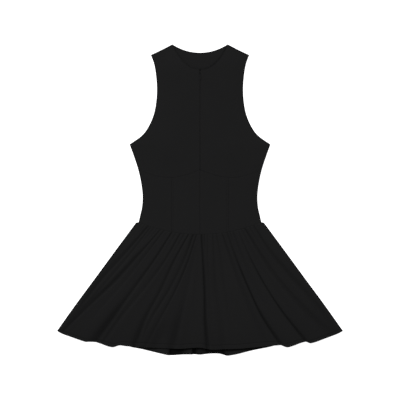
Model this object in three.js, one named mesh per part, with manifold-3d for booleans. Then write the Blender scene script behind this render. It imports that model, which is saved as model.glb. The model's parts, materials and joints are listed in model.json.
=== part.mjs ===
// A black sleeveless mini dress laid flat on its back, front up, in millimetres.
// +Y points to the neck, +Z up, and x = 0 is the centre front. Heights along the dress are given as a maker
// gives them: as the drop below the top of the shoulders. "Right" is the wearer's right, at -X.
import * as THREE from "three";
import { mergeVertices } from "three/addons/utils/BufferGeometryUtils.js";
import Module from "manifold-3d";

const wasm = await Module();
wasm.setup();

// Rows of numbers under named columns
function table(names, rows) {
  const columns = names.split(" ");
  return rows.map((row) => Object.fromEntries(columns.map((name, i) => [name, row[i]])));
}

// Driving sizes
const dressLength = 823; // top of the shoulders to the lowest point of the back hem
const cloth = 1.2; // wall of the knit, with its seam allowances pressed flat
const seamGap = 0.3; // between two pieces that are sewn to each other
const frontRest = cloth * 1.5 + seamGap; // middle of the front wall where it lies straight on the back
const frontRise = 3.3; // how much higher the front stands along its middle
const hemRise = 11; // how much higher the flutes of the skirt stand at the hem

// Neck and shoulders
const neckHalf = 72.9;
const frontNeckDrop = 65.2;
const backNeckDrop = 22;
const shoulderTip = { x: 129.6, drop: 27.3 };

// Seams
const underbustDrop = 331.8;
const cupDip = 20.4; // each cup hangs this far below the seam's ends
const cupSpan = 163;
const princessX = 75.5;
const waistSeamDrop = 502.7; // at the centre front
const waistSeamRise = 31.8; // the seam rises to its ends
const waistHalf = 162.4;
const waistEndDrop = 470.9;

// Skirt
const skirtTopHalf = 170;
const hemHalf = 375.5;

// Outer edge of the bodice: the armhole down to the underarm, then the side seam down to the skirt.
const armhole = table("drop x", [
  [27.3, 129.6],
  [50.9, 120],
  [82.7, 115],
  [119.8, 113.4],
  [156.9, 116.1],
  [188.7, 123.2],
  [220.5, 137.8],
  [241.7, 155],
  [264.2, 185],
]);
const sideSeam = table("drop x", [
  [264.2, 185],
  [294.7, 174.1],
  [326.5, 164],
  [358.3, 156.4],
  [390.1, 151.8],
  [411.3, 151.3],
  [432.5, 153.2],
  [453.7, 158.2],
  [470.9, 162.4],
]);

// Front hem, from the wearer's right to left. A fold that overlaps its neighbour shows as a small step.
const frontHem = table("x drop", [
  [-375.5, 757],
  [-343, 773],
  [-303, 787],
  [-294, 784.8],
  [-271, 788.3],
  [-232, 800.6],
  [-212, 796],
  [-159, 799.2],
  [-106, 802.2],
  [-60, 806],
  [-5, 801.9],
  [8, 803.5],
  [26, 808.3],
  [56, 808.5],
  [106, 804],
  [159, 798.7],
  [213, 793.9],
  [230, 800.3],
  [245, 797.7],
  [277, 787.1],
  [293, 790],
  [332, 777],
  [375.5, 757],
]);

// Back hem. It hides behind the front one at the sides and hangs below it in the middle.
const backHem = table("x drop", [
  [-375.5, 757],
  [-340, 771],
  [-295, 782],
  [-212, 793],
  [-178, 797],
  [-152, 806],
  [-105, 817.3],
  [-75, 822.5],
  [-57, 820.4],
  [-1, 820.7],
  [34, 817.3],
  [54, 817.2],
  [70, 823],
  [86, 821.8],
  [134, 809.8],
  [182, 800.3],
  [210, 791],
  [295, 783],
  [345, 768],
  [375.5, 757],
]);

// Folds of the front skirt, each a valley that runs from the waist seam to the hem. The columns waist to hem
// say how far from the centre it lies at five equal steps down. The deep columns are its depth, and the wide
// ones its half width. steep is 1 where the cloth on its +X side stands up sharply over it.
const frontFolds = table("waist upper middle lower hem deepTop deepMiddle deepHem wideTop wideHem steep", [
  [-140.7, -201, -262, -317, -371.5, 3, 3.8, 0, 4, 14, 0],
  [-134, -188, -246, -309, -368, 1.6, 0.5, 0, 3, 9, 0],
  [-108, -171, -232, -301, -364, 2.2, 5.4, 4.6, 4, 13, 0],
  [-99, -155, -212, -275, -335, 1.6, 0, 0, 3, 9, 0],
  [-78.4, -126, -178, -232.5, -283, 2.4, 5.6, 8.4, 4, 17, 0],
  [-54.5, -95.4, -149.6, -211, -264, 2, 2.4, 3, 4, 10, 0],
  [-32.5, -74.3, -106.1, -148.5, -177.4, 1.6, 5, 8.4, 3, 12, 0],
  [-18.7, -50.2, -87.8, -130, -163, 2.6, 2.6, 0, 4, 8, 0],
  [-10.4, -35.9, -66.8, -108, -145, 2, 1.8, 0.8, 3, 7, 0],
  [-4, -20, -38, -61, -83, 0, 1.4, 7, 4, 16, 0],
  [3.9, 8.4, 11.2, 13, 20.9, 3, 5.6, 8.6, 5, 16, 1],
  [19.9, 22, 27, 33, 42, 1.6, 0.3, 0, 3, 7, 0],
  [34.3, 39.1, 44.8, 55.8, 63.5, 1.4, 1.4, 1.8, 4, 10, 0],
  [43, 58, 68, 82, 96, 1.6, 0.7, 0, 4, 9, 0],
  [58.4, 84.8, 113.6, 146.1, 180.8, 1.6, 2.4, 1.2, 4, 10, 0],
  [70.7, 97.6, 128.9, 166.9, 215, 2.2, 5.4, 8, 4, 13, 1],
  [86.8, 116, 151, 196, 247, 2.2, 0.6, 0, 3, 9, 0],
  [99.5, 134.2, 174.6, 224.7, 278.8, 2.6, 5.4, 8, 4, 13, 1],
  [109.5, 147, 193, 250, 320, 1.8, 0, 0, 3, 9, 0],
  [118, 162.8, 213.7, 278.3, 352, 3, 3.4, 2.8, 4, 16, 0],
  [130, 176, 231, 295, 362, 1.4, 0, 0, 3, 9, 0],
  [141, 189.2, 248.8, 309, 368, 2.2, 3, 0.6, 4, 10, 0],
]);

// Fine gathers between those folds, along the waist seam
const gatherPitch = 9.5;
const gatherDepth = 1.3;
const gatherHalf = 2.4;
const gatherRun = 0.16; // share of the skirt's length over which they die out
const steepShare = 0.3; // a steep wall is this narrow, set against the fold's half width

// Folds of the back skirt, each a low ridge on a straight line from the waist to the hem. tall is its height
// at the hem, and toRight and toLeft its half widths there, on the wearer's right and left of its crest.
const backFolds = table("waist hem tall toRight toLeft", [
  [-120, -300, 2.2, 26, 20],
  [-88, -225, 3, 24, 14],
  [-62, -152, 2.6, 18, 16],
  [-36, -83.5, 4, 40, 4],
  [-12, -22.5, 4, 17, 4],
  [3, 2, 2.8, 8, 9],
  [24, 57, 4.2, 20, 4],
  [46, 103, 3.6, 22, 34],
  [74, 176, 2.8, 18, 20],
  [98, 248, 2.8, 22, 18],
  [126, 312, 2, 20, 24],
]);

// Zip: two tapes under the front edges, a slider at the top and a pull that swings on it
const tape = { outer: 12.5, thick: 1, top: 67, bottom: 342 };
const slot = table("drop half", [
  [65.1, 4],
  [69.5, 1.9],
  [72, 1],
  [79, 1],
  [84, 0.4],
  [345, 0.4],
]);
const pivot = { drop: 74.5, above: 1.1 }; // above the outer face of the front
const slider = { long: 11, wide: 8, narrow: 6, thick: 1.7 };
const bridge = { long: 6, wide: 1.2, wall: 0.9, above: 3, round: 1.2 };
const pull = { long: 19.5, thick: 1, head: 2, belly: 2.9, bellyAt: 13.5 }; // head and belly are half widths
const window = { half: 1.05, long: 4.1 }; // the opening in the pull, round the bridge

const top = dressLength / 2;
const yAt = (drop) => top - drop;
const lerp = (a, b, t) => a + (b - a) * t;
const clamp = (v, low, high) => Math.min(high, Math.max(low, v));
const smooth = (t) => clamp(t, 0, 1) ** 2 * (3 - 2 * clamp(t, 0, 1));
const higher = (a, b, round) => (a + b + Math.hypot(a - b, round)) / 2;

// A smooth curve through the rows of a table: the value of one column for a value of another.
function through(rows, along, value) {
  const slope = rows.map((row, i) => {
    const before = rows[Math.max(0, i - 1)];
    const after = rows[Math.min(rows.length - 1, i + 1)];
    return (after[value] - before[value]) / (after[along] - before[along]);
  });
  return (at) => {
    const a = clamp(at, rows[0][along], rows.at(-1)[along]);
    const i = clamp(rows.findIndex((row) => row[along] >= a) - 1, 0, rows.length - 2);
    const gap = rows[i + 1][along] - rows[i][along];
    const t = (a - rows[i][along]) / gap;
    const start = (1 + 2 * t) * (1 - t) ** 2 * rows[i][value] + t * (1 - t) ** 2 * gap * slope[i];
    const end = t ** 2 * (3 - 2 * t) * rows[i + 1][value] - t ** 2 * (1 - t) * gap * slope[i + 1];
    return start + end;
  };
}

// Outline of the garment
const armholeX = through(armhole, "drop", "x");
const sideX = through(sideSeam, "drop", "x");
const outerX = (drop) => (drop < armhole.at(-1).drop ? armholeX(drop) : sideX(drop));
const frontHemDrop = through(frontHem, "x", "drop");
const backHemDrop = through(backHem, "x", "drop");
const frontNeckX = (drop) => neckHalf * Math.max(0, 1 - drop / frontNeckDrop) ** (1 / 2.3);
const underbust = (x) => underbustDrop + cupDip * Math.sin((Math.PI * Math.abs(x)) / cupSpan);
const waistSeam = (x) => waistSeamDrop - waistSeamRise * Math.min(1, Math.abs(x) / waistHalf) ** 2;
const skirtTop = (x) => waistSeam(x) + Math.max(0, Math.abs(x) - waistHalf) * 0.2;
const slotHalf = through(slot, "drop", "half");

function shoulderDrop(x) {
  const along = (Math.abs(x) - neckHalf) / (shoulderTip.x - neckHalf);
  return shoulderTip.drop * clamp(along, 0, 1);
}

// Middle of the bodice front's wall: a low dome that runs out to the shoulders, armholes and sides
function frontHeight(x, drop) {
  const across = Math.min(1, Math.abs(x) / outerX(drop));
  const down = smooth((drop - shoulderDrop(x)) / 60);
  return frontRest + frontRise * (1 - across ** 2.4) * down;
}

// A wall of even thickness round a grid of points on its middle, closed round its four edges.
function wallGeometry(grid, thickness) {
  const rows = grid.length;
  const columns = grid[0].length;
  const outer = [];
  const inner = [];
  for (let j = 0; j < rows; j++)
    for (let i = 0; i < columns; i++) {
      const across = grid[j][Math.min(columns - 1, i + 1)].clone().sub(grid[j][Math.max(0, i - 1)]);
      const along = grid[Math.min(rows - 1, j + 1)][i].clone().sub(grid[Math.max(0, j - 1)][i]);
      const out = across.cross(along).normalize().multiplyScalar(thickness / 2);
      if (out.z < 0) out.negate();
      outer.push(grid[j][i].clone().add(out));
      inner.push(grid[j][i].clone().sub(out));
    }
  const first = grid[0][0];
  const leftwards = grid[0][1].x < first.x;
  const upwards = grid[1][0].y > first.y;
  const flip = leftwards === upwards;
  const points = [...outer, ...inner];
  const faces = [];
  const quad = (a, b, c, d) => faces.push(...(flip ? [a, c, b, a, d, c] : [a, b, c, a, c, d]));
  const at = (i, j) => j * columns + i;
  const under = (i, j) => at(i, j) + rows * columns;
  for (let j = 0; j < rows - 1; j++)
    for (let i = 0; i < columns - 1; i++) {
      quad(at(i, j), at(i + 1, j), at(i + 1, j + 1), at(i, j + 1));
      quad(under(i, j), under(i, j + 1), under(i + 1, j + 1), under(i + 1, j));
    }
  for (let i = 0; i < columns - 1; i++) {
    quad(at(i, 0), under(i, 0), under(i + 1, 0), at(i + 1, 0));
    quad(at(i, rows - 1), at(i + 1, rows - 1), under(i + 1, rows - 1), under(i, rows - 1));
  }
  for (let j = 0; j < rows - 1; j++) {
    quad(at(0, j), at(0, j + 1), under(0, j + 1), under(0, j));
    quad(at(columns - 1, j), under(columns - 1, j), under(columns - 1, j + 1), at(columns - 1, j + 1));
  }
  const geometry = new THREE.BufferGeometry();
  geometry.setAttribute("position", new THREE.Float32BufferAttribute(points.flatMap((p) => p.toArray()), 3));
  geometry.setIndex(faces);
  return geometry;
}

const steps = (count) => Array.from({ length: count + 1 }, (_, i) => i / count);

const knit = new THREE.MeshStandardMaterial({ color: 0x1d1d1d, roughness: 0.85, metalness: 0 });
const tapeCloth = new THREE.MeshStandardMaterial({ color: 0x171717, roughness: 0.9, metalness: 0 });
const lacquer = new THREE.MeshStandardMaterial({ color: 0x141414, roughness: 0.35, metalness: 0.8 });

function piece(name, geometry, material) {
  const flat = geometry.clone();
  flat.computeVertexNormals();
  const mesh = new THREE.Mesh(flat, material.clone());
  mesh.name = name;
  return mesh;
}

const onFront = (x, drop) => new THREE.Vector3(x, yAt(drop), frontHeight(x, drop));

// Upper fronts: from the underbust seam to the shoulder, open at the zip. Each row runs from the centre edge,
// which turns up along the neckline, to the side seam and armhole.
const upperRows = table("centre edge bow", [
  [331.8, 331.8, 1],
  [302, 311, 0.7],
  [270, 288, 0.42],
  [236, 264.2, 0.2],
  [206, 252, 0.06],
  [178, 237, 0],
  [150, 216, 0],
  [124, 190, 0],
  [102, 164, 0],
  [84, 142, 0],
  [79, 130, 0],
  [72, 117, 0],
  [69.5, 106, 0],
  [65.1, 95, 0],
  [62, 83, 0],
  [52, 70, 0],
  [37, 56, 0],
  [19, 42, 0],
  [0, 27.3, 0],
]);
const seamHalf = seamGap / 2;

function upperFront(name, side) {
  const grid = upperRows.map((row) => {
    const open = row.centre >= slot[0].drop;
    const centreX = open ? slotHalf(row.centre) : frontNeckX(row.centre);
    const edgeX = outerX(row.edge);
    return steps(9).map((u) => {
      const x = lerp(centreX, edgeX, u);
      const sag = cupDip * row.bow * Math.sin((Math.PI * x) / cupSpan);
      const drop = lerp(row.centre, row.edge, u) + sag - seamHalf * row.bow;
      return onFront(side * x, drop);
    });
  });
  return piece(name, wallGeometry(grid, cloth), knit);
}

// Midriff panels, between the underbust seam and the waist seam
function midriffPanel(name, side, inner, outer) {
  const grid = steps(6).map((v) => {
    const outerDrop = lerp(underbustDrop, waistEndDrop, v);
    const far = outer ?? sideX(outerDrop);
    return steps(6).map((u) => {
      const x = lerp(inner, far, u);
      const above = underbust(lerp(inner, outer ?? sideX(underbustDrop), u)) + seamHalf;
      const below = waistSeam(lerp(inner, outer ?? waistHalf, u)) - seamHalf;
      return onFront(side * x, lerp(above, below, v));
    });
  });
  return piece(name, wallGeometry(grid, cloth), knit);
}

// Bodice back: flat on the surface, its top edge dipping between the shoulders
function backBodice() {
  const neckShare = neckHalf / shoulderTip.x;
  const half = [0, 0.19, 0.38, neckShare, 0.7, 0.85, 1];
  const across = [...half.slice(1).reverse().map((u) => -u), ...half];
  const topDrop = (u) => {
    const x = Math.abs(u) * shoulderTip.x;
    if (x > neckHalf) return shoulderDrop(x);
    return backNeckDrop * (1 - (x / neckHalf) ** 2.1);
  };
  const edges = [470.9, 432, 390, 350, 318, 290, 264.2, 250, 236, 216, 188, 157, 120, 88, 60, 42, 27.3];
  const grid = edges.map((edge) => {
    const up = (waistEndDrop - edge) / (waistEndDrop - shoulderTip.drop);
    const half = outerX(edge);
    return across.map((u) => {
      const waistSag = (waistSeam(u * waistHalf) - waistEndDrop - seamHalf) * (1 - up) ** 2;
      const neckSag = (topDrop(u) - shoulderTip.drop) * up ** 6;
      return new THREE.Vector3(u * half, yAt(edge + waistSag + neckSag), cloth / 2);
    });
  });
  return piece("back_bodice", wallGeometry(grid, cloth), knit);
}

// Height of the back skirt's middle surface over the surface it lies on
function backSkirtHeight(x, drop) {
  const down = clamp((drop - waistSeamDrop) / (backHemDrop(x) - waistSeamDrop), 0, 1);
  let height = cloth / 2;
  for (const fold of backFolds) {
    const line = lerp(fold.waist, fold.hem, down);
    const off = x - line;
    const wide = (off < 0 ? fold.toRight : fold.toLeft) * lerp(0.45, 1, down);
    height += fold.tall * smooth(down * 1.4) * Math.exp(-((off / wide) ** 2));
  }
  return height;
}

// Places across a skirt: each fold's own line, the crest over a steep one, and even steps to its neighbour
function skirtColumns(lines, widest) {
  const columns = [];
  for (let k = 0; k < lines.length - 1; k++) {
    const gap = Math.abs(lines[k + 1].hem - lines[k].hem);
    const count = Math.max(2 * ((lines[k].gathers ?? 0) + 1), Math.ceil(gap / widest));
    for (let i = 0; i < count; i++) {
      columns.push({ fold: k, between: i / count });
      if (lines[k].steep && i === 0) columns.push({ fold: k, between: 0.65 / count, crest: true });
    }
  }
  columns.push({ fold: lines.length - 2, between: 1 });
  return columns;
}

// Back skirt: straight lines fan out from the waist to the hem
function backSkirt() {
  const edge = (side) => ({ waist: side * skirtTopHalf, hem: side * hemHalf });
  const lines = [edge(-1), ...backFolds, edge(1)];
  const columns = skirtColumns(lines, 17);
  const grid = steps(8).map((t) =>
    columns.map(({ fold, between }) => {
      const waistX = lerp(lines[fold].waist, lines[fold + 1].waist, between);
      const hemX = lerp(lines[fold].hem, lines[fold + 1].hem, between);
      const x = lerp(waistX, hemX, t);
      const drop = lerp(skirtTop(waistX) + seamHalf, backHemDrop(hemX), t);
      return new THREE.Vector3(x, yAt(drop), backSkirtHeight(x, drop));
    }),
  );
  return piece("back_skirt", wallGeometry(grid, cloth), knit);
}

// Front skirt: the grid follows the folds, whose lines bend as they fan out.
const stationNames = ["waist", "upper", "middle", "lower", "hem"];

function foldLine(fold) {
  const rows = stationNames.map((name, i) => ({ t: i / 4, x: fold[name] }));
  return through(rows, "t", "x");
}

function edgeLine(side) {
  const edge = {};
  stationNames.forEach((name, i) => (edge[name] = side * lerp(skirtTopHalf, hemHalf, i / 4)));
  return edge;
}

function frontLines() {
  const lines = [edgeLine(-1), ...frontFolds, edgeLine(1)].map((fold) => ({ ...fold, at: foldLine(fold) }));
  lines.slice(0, -1).forEach((line, k) => {
    line.gathers = Math.max(0, Math.round((lines[k + 1].waist - line.waist) / gatherPitch) - 1);
  });
  return lines;
}

function foldDepth(fold, t) {
  if (fold.deepTop === undefined) return 0;
  const toMiddle = lerp(fold.deepTop, fold.deepMiddle, smooth(t * 2));
  return t < 0.5 ? toMiddle : lerp(fold.deepMiddle, fold.deepHem, smooth(t * 2 - 1));
}

// Height of the front skirt's middle surface, x from the centre and t down from the waist
function frontSkirtHeight(lines, x, t, waistX, drop) {
  const half = lerp(skirtTopHalf, hemHalf, t);
  const across = Math.min(1, Math.abs(x) / half);
  const seam = frontHeight(waistX, skirtTop(waistX)) - frontRest;
  const flutes = hemRise * (1 - across ** 4);
  let height = frontRest + lerp(seam, flutes, smooth(t * 0.75 + 0.25 * t * t));
  const inside = smooth((1 - across) * 9);
  lines.forEach((fold, k) => {
    const off = x - fold.at(t);
    const even = lerp(fold.wideTop ?? 1, fold.wideHem ?? 1, t);
    const wide = fold.steep && off > 0 ? even * steepShare : even;
    height -= inside * foldDepth(fold, t) * Math.exp(-((off / wide) ** 2));
    for (let g = 1; g <= (fold.gathers ?? 0); g++) {
      const line = lerp(fold.at(t), lines[k + 1].at(t), g / (fold.gathers + 1));
      const uneven = 0.75 + 0.25 * Math.sin(5 * k + 3 * g);
      const fade = Math.exp(-((t / (gatherRun * uneven)) ** 2));
      height -= inside * gatherDepth * uneven * fade * Math.exp(-(((x - line) / gatherHalf) ** 2));
    }
  });
  const lowest = backSkirtHeight(x, drop) + cloth + seamGap;
  return higher(height, lowest + 0.1, 0.5);
}

// How far from the centre a column lies, t down from the waist
function columnX(lines, column, t) {
  const from = lines[column.fold].at(t);
  const step = (lines[column.fold + 1].at(t) - from) * column.between;
  if (!column.crest) return from + step;
  const { wideTop, wideHem } = lines[column.fold];
  return from + Math.min(step, 1.8 * steepShare * lerp(wideTop, wideHem, t));
}

function frontSkirt() {
  const lines = frontLines();
  const columns = skirtColumns(lines, 9.5);
  const grid = steps(15).map((even) => {
    const t = even ** 1.25;
    return columns.map((column) => {
      const x = columnX(lines, column, t);
      const waistX = columnX(lines, column, 0);
      const hemDrop = frontHemDrop(columnX(lines, column, 1));
      const drop = lerp(skirtTop(waistX) + seamHalf, hemDrop, t);
      return new THREE.Vector3(x, yAt(drop), frontSkirtHeight(lines, x, t, waistX, drop));
    });
  });
  return piece("front_skirt", wallGeometry(grid, cloth), knit);
}

// Zip tapes: they lie under the front edges and part at the top, round the slider
function zipTape(name, side) {
  const drops = [tape.top, 69.5, 72, 79, 84, 110, 150, 190, 230, 270, 310, tape.bottom];
  const grid = drops.map((drop) => {
    const inner = seamHalf + (slotHalf(drop) - slot.at(-1).half) * 1.25;
    return steps(3).map((u) => {
      const x = lerp(inner, tape.outer, u);
      const height = frontHeight(x, drop) - cloth / 2 - seamGap - tape.thick / 2;
      return new THREE.Vector3(side * x, yAt(drop), height);
    });
  });
  return piece(name, wallGeometry(grid, tape.thick), tapeCloth);
}

const pivotY = yAt(pivot.drop);
const frontFace = frontHeight(0, pivot.drop) + cloth / 2;
const pivotZ = frontFace + pivot.above;

function solidOf(geometry) {
  const bare = geometry.clone();
  bare.deleteAttribute("normal");
  bare.deleteAttribute("uv");
  const merged = mergeVertices(bare, 1e-4);
  const vertProperties = new Float32Array(merged.attributes.position.array);
  return new wasm.Manifold(
    new wasm.Mesh({ numProp: 3, vertProperties, triVerts: new Uint32Array(merged.index.array) }),
  );
}

function geometryOf(solid) {
  const { vertProperties, triVerts } = solid.getMesh();
  const geometry = new THREE.BufferGeometry();
  geometry.setAttribute("position", new THREE.BufferAttribute(vertProperties, 3));
  geometry.setIndex(new THREE.BufferAttribute(triVerts, 1));
  return geometry;
}

function extruded(shape, depth) {
  return new THREE.ExtrudeGeometry(shape, { depth, bevelEnabled: false, curveSegments: 6 });
}

// An outline even about its middle, with a straight foot and round upper corners
function roundedOutline(path, half, bottom, upper, radius) {
  path.moveTo(-half, bottom);
  path.lineTo(half, bottom);
  path.lineTo(half, upper - radius);
  path.absarc(half - radius, upper - radius, radius, 0, Math.PI / 2, false);
  path.absarc(radius - half, upper - radius, radius, Math.PI / 2, Math.PI, false);
  path.lineTo(-half, bottom);
  return path;
}

// Zip slider: a shield-shaped body inside the dress, and a bridge that stands through the slot
function zipSlider() {
  const bottomZ = cloth + seamGap;
  const body = new THREE.Shape();
  body.moveTo(-slider.wide / 2, slider.long / 2 - 1);
  body.quadraticCurveTo(-slider.wide / 2, -slider.long * 0.3, -slider.narrow / 2, -slider.long / 2);
  body.lineTo(slider.narrow / 2, -slider.long / 2);
  body.quadraticCurveTo(slider.wide / 2, -slider.long * 0.3, slider.wide / 2, slider.long / 2 - 1);
  body.quadraticCurveTo(0, slider.long / 2 + 1, -slider.wide / 2, slider.long / 2 - 1);
  const bodyGeometry = extruded(body, slider.thick);
  bodyGeometry.translate(0, pivotY, bottomZ);

  const legBottom = bottomZ + slider.thick / 2;
  const upper = frontFace + bridge.above;
  const half = bridge.long / 2;
  const inner = half - bridge.wall;
  const arch = roundedOutline(new THREE.Shape(), half, legBottom, upper, bridge.round);
  arch.holes.push(roundedOutline(new THREE.Path(), inner, frontFace, upper - bridge.wall, bridge.round / 2));
  const archGeometry = extruded(arch, bridge.wide);
  // The outline is drawn along Y and up Z, and its depth runs across X.
  archGeometry.rotateX(Math.PI / 2).rotateZ(Math.PI / 2);
  archGeometry.translate(-bridge.wide / 2, pivotY, 0);
  return piece("zip_slider", geometryOf(solidOf(bodyGeometry).add(solidOf(archGeometry))), lacquer);
}

// Zip pull: a flat drop with a window, whose top bar runs through the slider's bridge
function zipPull() {
  const { long, thick, head, belly, bellyAt } = pull;
  const bar = thick / 2;
  const shoulder = -window.long * 0.7;
  const drop = new THREE.Shape();
  drop.moveTo(-head, bar);
  drop.lineTo(-head, shoulder);
  drop.quadraticCurveTo(-belly, -bellyAt * 0.6, -belly, -bellyAt);
  drop.bezierCurveTo(-belly, -long * 0.93, -belly * 0.6, -long, 0, -long);
  drop.bezierCurveTo(belly * 0.6, -long, belly, -long * 0.93, belly, -bellyAt);
  drop.quadraticCurveTo(belly, -bellyAt * 0.6, head, shoulder);
  drop.lineTo(head, bar);
  const hole = new THREE.Path();
  hole.moveTo(-window.half, -bar);
  hole.lineTo(-window.half, -window.long);
  hole.lineTo(window.half, -window.long);
  hole.lineTo(window.half, -bar);
  drop.holes.push(hole);
  const geometry = extruded(drop, thick);
  geometry.translate(0, pivotY, pivotZ - bar);
  return piece("zip_pull", geometry, lacquer);
}

const dress = new THREE.Group();
dress.add(
  backBodice(),
  backSkirt(),
  upperFront("front_upper_right", -1),
  upperFront("front_upper_left", 1),
  midriffPanel("front_midriff_centre_right", -1, seamHalf, princessX - seamHalf),
  midriffPanel("front_midriff_centre_left", 1, seamHalf, princessX - seamHalf),
  midriffPanel("front_midriff_side_right", -1, princessX + seamHalf, null),
  midriffPanel("front_midriff_side_left", 1, princessX + seamHalf, null),
  frontSkirt(),
  zipTape("zip_tape_right", -1),
  zipTape("zip_tape_left", 1),
  zipSlider(),
  zipPull(),
);

export default dress;
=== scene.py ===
import json
import math

import bpy
import numpy as np
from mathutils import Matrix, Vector


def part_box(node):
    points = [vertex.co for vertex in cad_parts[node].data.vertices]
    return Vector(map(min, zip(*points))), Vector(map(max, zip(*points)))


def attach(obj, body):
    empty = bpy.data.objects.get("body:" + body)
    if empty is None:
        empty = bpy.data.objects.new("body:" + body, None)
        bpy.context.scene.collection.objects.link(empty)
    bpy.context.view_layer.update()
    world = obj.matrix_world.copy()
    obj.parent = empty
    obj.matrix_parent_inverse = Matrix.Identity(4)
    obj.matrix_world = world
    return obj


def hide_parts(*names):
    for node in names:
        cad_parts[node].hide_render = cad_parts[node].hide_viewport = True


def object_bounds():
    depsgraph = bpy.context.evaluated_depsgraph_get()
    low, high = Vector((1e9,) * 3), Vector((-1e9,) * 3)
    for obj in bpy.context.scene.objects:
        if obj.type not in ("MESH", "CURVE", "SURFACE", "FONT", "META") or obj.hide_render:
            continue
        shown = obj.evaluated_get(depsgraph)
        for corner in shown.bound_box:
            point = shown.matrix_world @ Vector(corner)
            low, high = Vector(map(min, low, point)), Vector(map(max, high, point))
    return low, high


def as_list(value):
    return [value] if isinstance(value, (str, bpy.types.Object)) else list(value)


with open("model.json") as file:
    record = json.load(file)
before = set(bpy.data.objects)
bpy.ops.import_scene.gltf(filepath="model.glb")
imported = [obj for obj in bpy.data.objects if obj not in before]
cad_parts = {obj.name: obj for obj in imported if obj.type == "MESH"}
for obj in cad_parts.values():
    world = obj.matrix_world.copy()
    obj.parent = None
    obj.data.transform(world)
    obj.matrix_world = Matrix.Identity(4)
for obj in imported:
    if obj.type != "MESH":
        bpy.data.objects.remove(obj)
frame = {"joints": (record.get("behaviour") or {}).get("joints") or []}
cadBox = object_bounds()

# A black sleeveless dress laid flat on its back. The cloth is in millimetres, and a place along the dress is
# its drop below the shoulders. toMetres turns a finished mesh to the frame's metres. Materials, slider, pull
# and stage are in metres.
toMetres = 0.001

dress = {
    "cloth": 1.2,  # wall of the knit
    "seamGap": 0.3,  # between layers
    "turnIn": 0.8,  # the front skirt's top edge under the bodice's
    "join": 0.05,  # between panels of one layer
    "frontRise": 3.3,  # the front's middle over its edges
    "frontFlat": 2.4,  # power of that rise across the front
    "shoulderRun": 60,  # length over which it begins
    "cupRise": 0.8,  # soft fullness left in each cup
    "hemRise": 11,  # the flutes' tops at the hem
    "neckHalf": 72.9,
    "neckTop": -0.9,  # its ends stand a little over the solids
    "frontNeckDrop": 65.2,
    "frontNeckRound": 2.3,  # power of the neckline's curve
    "backNeckDrop": 21.1,
    "backNeckRound": 2.1,
    "shoulderX": 129.6,
    "shoulderDrop": 27.3,
    "shoulderSag": 0.11,  # share by which the shoulder seam hangs at its middle
    "underbustDrop": 331.8,
    "cupDip": 20.4,
    "cupSpan": 163,
    "princessX": 75.5,
    "waistDrop": 502.7,
    "waistRise": 31.8,
    "waistHalf": 162.4,
    "waistEndDrop": 470.9,
    "skirtTopHalf": 169.3,
    "skirtTopSlope": 0.2,  # of the little that shows beside the bodice
    "hemHalf": 377.5,
    "sideBow": (0, 1, 1.5, 2.4, 1.3),  # how far the skirt's sides bulge at five steps down
}
topY = cadBox[1][1] / toMetres
frontRest = dress["cloth"] * 1.5 + dress["seamGap"]


def table(names, rows):
    return [dict(zip(names.split(), row)) for row in rows]


def lerp(a, b, t):
    return a + (b - a) * t


def smooth(t):  # an even rise from 0 to 1
    t = np.clip(t, 0, 1)
    return t * t * (3 - 2 * t)


def bell(off, wide):
    return np.exp(-((off / wide) ** 2))


def higher(a, b, blend):
    return (a + b + np.hypot(a - b, blend)) / 2


def through(spots, values):  # a smooth curve through a few known points
    at = np.array(spots, float)
    value = np.array(values, float)
    last = len(at) - 1
    before = np.maximum(np.arange(len(at)) - 1, 0)
    after = np.minimum(np.arange(len(at)) + 1, last)
    slope = (value[after] - value[before]) / (at[after] - at[before])

    def curve(x):
        x = np.clip(x, at[0], at[-1])
        i = np.clip(np.searchsorted(at, x, side="left") - 1, 0, last - 1)
        gap = at[i + 1] - at[i]
        t = (x - at[i]) / gap
        start = (1 + 2 * t) * (1 - t) ** 2 * value[i] + t * (1 - t) ** 2 * gap * slope[i]
        return start + t * t * (3 - 2 * t) * value[i + 1] - t * t * (1 - t) * gap * slope[i + 1]

    return curve


def column(rows, along, value):
    return through([row[along] for row in rows], [row[value] for row in rows])


# Outline of the dress
armhole = table("drop x", [
    (27.3, 130.2), (50.9, 121.8), (82.7, 116.4), (119.8, 114.1), (156.9, 116.7),
    (188.7, 123.7), (220.5, 138.2), (241.7, 154.8), (264.2, 186.4),
])
sideSeam = table("drop x", [
    (264.2, 186.4), (294.7, 175.5), (326.5, 165), (358.3, 157.4), (390.1, 152.7),
    (411.3, 152.1), (432.5, 154), (453.7, 158.8), (470.9, 162.6),
])
frontHem = table("x drop", [
    (-379, 758), (-366, 765.2), (-343, 773), (-303, 786.2), (-294, 786.2), (-271, 788.5), (-232, 800),
    (-212, 795.2), (-196, 797), (-159, 799.5), (-106, 802.7), (-60, 804.2), (-5, 800.7), (8, 802),
    (26, 806.2), (56, 805.6), (106, 803.4), (159, 798.7), (205, 795), (213, 795), (230, 800.3), (245, 796.7),
    (277, 786.3), (293, 790), (332, 777.3), (355, 769.6), (367, 764.4), (379, 758),
])
backHem = table("x drop", [
    (-375.5, 757), (-340, 771), (-295, 782), (-212, 793), (-180, 801.5), (-152, 806.4), (-134, 811),
    (-105, 817.6), (-77, 822.8), (-57, 821.7), (-27, 819.9), (-1, 820.8), (34, 817.9), (52, 817.9),
    (60, 820.3), (70, 824), (86, 822.2), (134, 810.8), (190, 799), (210, 794), (295, 783), (345, 768),
    (375.5, 757),
])
armholeX = column(armhole, "drop", "x")
sideX = column(sideSeam, "drop", "x")
frontHemDrop = column(frontHem, "x", "drop")
backHemDrop = column(backHem, "x", "drop")


def outerX(drop):
    return np.where(drop < armhole[-1]["drop"], armholeX(drop), sideX(drop))


def underbust(x):
    return dress["underbustDrop"] + dress["cupDip"] * np.sin(np.pi * np.abs(x) / dress["cupSpan"])


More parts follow.
